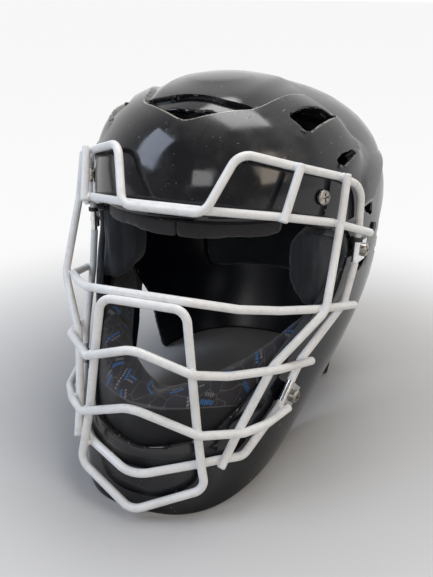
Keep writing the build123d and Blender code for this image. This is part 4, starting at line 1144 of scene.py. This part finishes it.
# Away from the helmet the paper runs out into the white backdrop; near it, it keeps the helmet's shadow
bright = add(tree, RANGE, (away, 0.15, 0.42, 0.0, 0.92), **EASED)
glow = add(tree, "ShaderNodeEmission", {"Color": WHITE, "Strength": 1.0})
blend = add(tree, "ShaderNodeMixShader", (add(tree, MATH, (seen, bright), **TIMES), matt, glow))
add(tree, "ShaderNodeOutputMaterial", {"Surface": blend})
mesh.materials.append(paper)

world = bpy.data.worlds.new("studio")
bpy.context.scene.world = world
world.use_nodes = True
tree = world.node_tree
tree.nodes.clear()
rays = add(tree, "ShaderNodeLightPath").outputs
heading = add(tree, "ShaderNodeSeparateXYZ", (add(tree, "ShaderNodeTexCoord").outputs["Generated"],))
# Reflections see a room that is darker to the front; the lens sees plain white
room = add(tree, RANGE, (heading.outputs["Y"], -0.6, 0.5, ROOM_LIGHT, 1.0), **EASED)
mirrored = add(tree, MATH, (rays["Is Glossy Ray"], rays["Is Transmission Ray"]), operation="MAXIMUM")
plain, around, white = [add(tree, "ShaderNodeBackground", (WHITE, light)) for light in (ROOM_LIGHT, room, 1.0)]
first = add(tree, "ShaderNodeMixShader", (mirrored, plain, around))
last = add(tree, "ShaderNodeMixShader", (rays["Is Camera Ray"], first, white))
add(tree, "ShaderNodeOutputWorld", {"Surface": last})


def softbox(name, place, aim, size, power, colour):
    """A square area lamp aimed at a point."""
    lamp = bpy.data.lights.new(name, "AREA")
    lamp.shape = "RECTANGLE"
    lamp.size, lamp.size_y = size
    lamp.energy = power
    lamp.color = linear(colour)[:3]
    holder = placed(name, lamp)
    holder.location = place
    holder.rotation_euler = (Vector(aim) - Vector(place)).to_track_quat("-Z", "Y").to_euler()


softbox("softbox_left", (-1.1, -0.75, 1.05), (0, 0, 0.13), (0.7, 0.9), 9.5, "#dce8ff")
softbox("softbox_top", (0.15, 0.25, 1.45), (0, 0, 0.15), (0.9, 0.7), 12.0, "#ffffff")
softbox("softbox_right", (1.2, -0.55, 0.75), (0, 0, 0.13), (0.5, 0.8), 5.0, "#ffeeda")
softbox("softbox_front", (0.1, -1.5, 0.7), (0, -0.05, 0.1), (0.5, 0.4), 2.2, "#ffffff")

# The camera stands where the photograph's did
lens = bpy.data.cameras.new("camera")
lens.sensor_fit = "VERTICAL"
lens.sensor_height = 36
lens.lens = 46.79
lens.clip_start = 0.01
camera = placed("camera", lens)
right = Vector((0.93818, 0.34612, -0.00507))
ahead = Vector((-0.31871, 0.85798, -0.40285))
up = right.cross(ahead)
camera.matrix_world = Matrix(((right.x, up.x, -ahead.x, 0.18188), (right.y, up.y, -ahead.y, -0.49256),
                              (right.z, up.z, -ahead.z, 0.32521), (0, 0, 0, 1)))
bpy.context.scene.camera = camera
bpy.context.scene.view_settings.view_transform = "Standard"
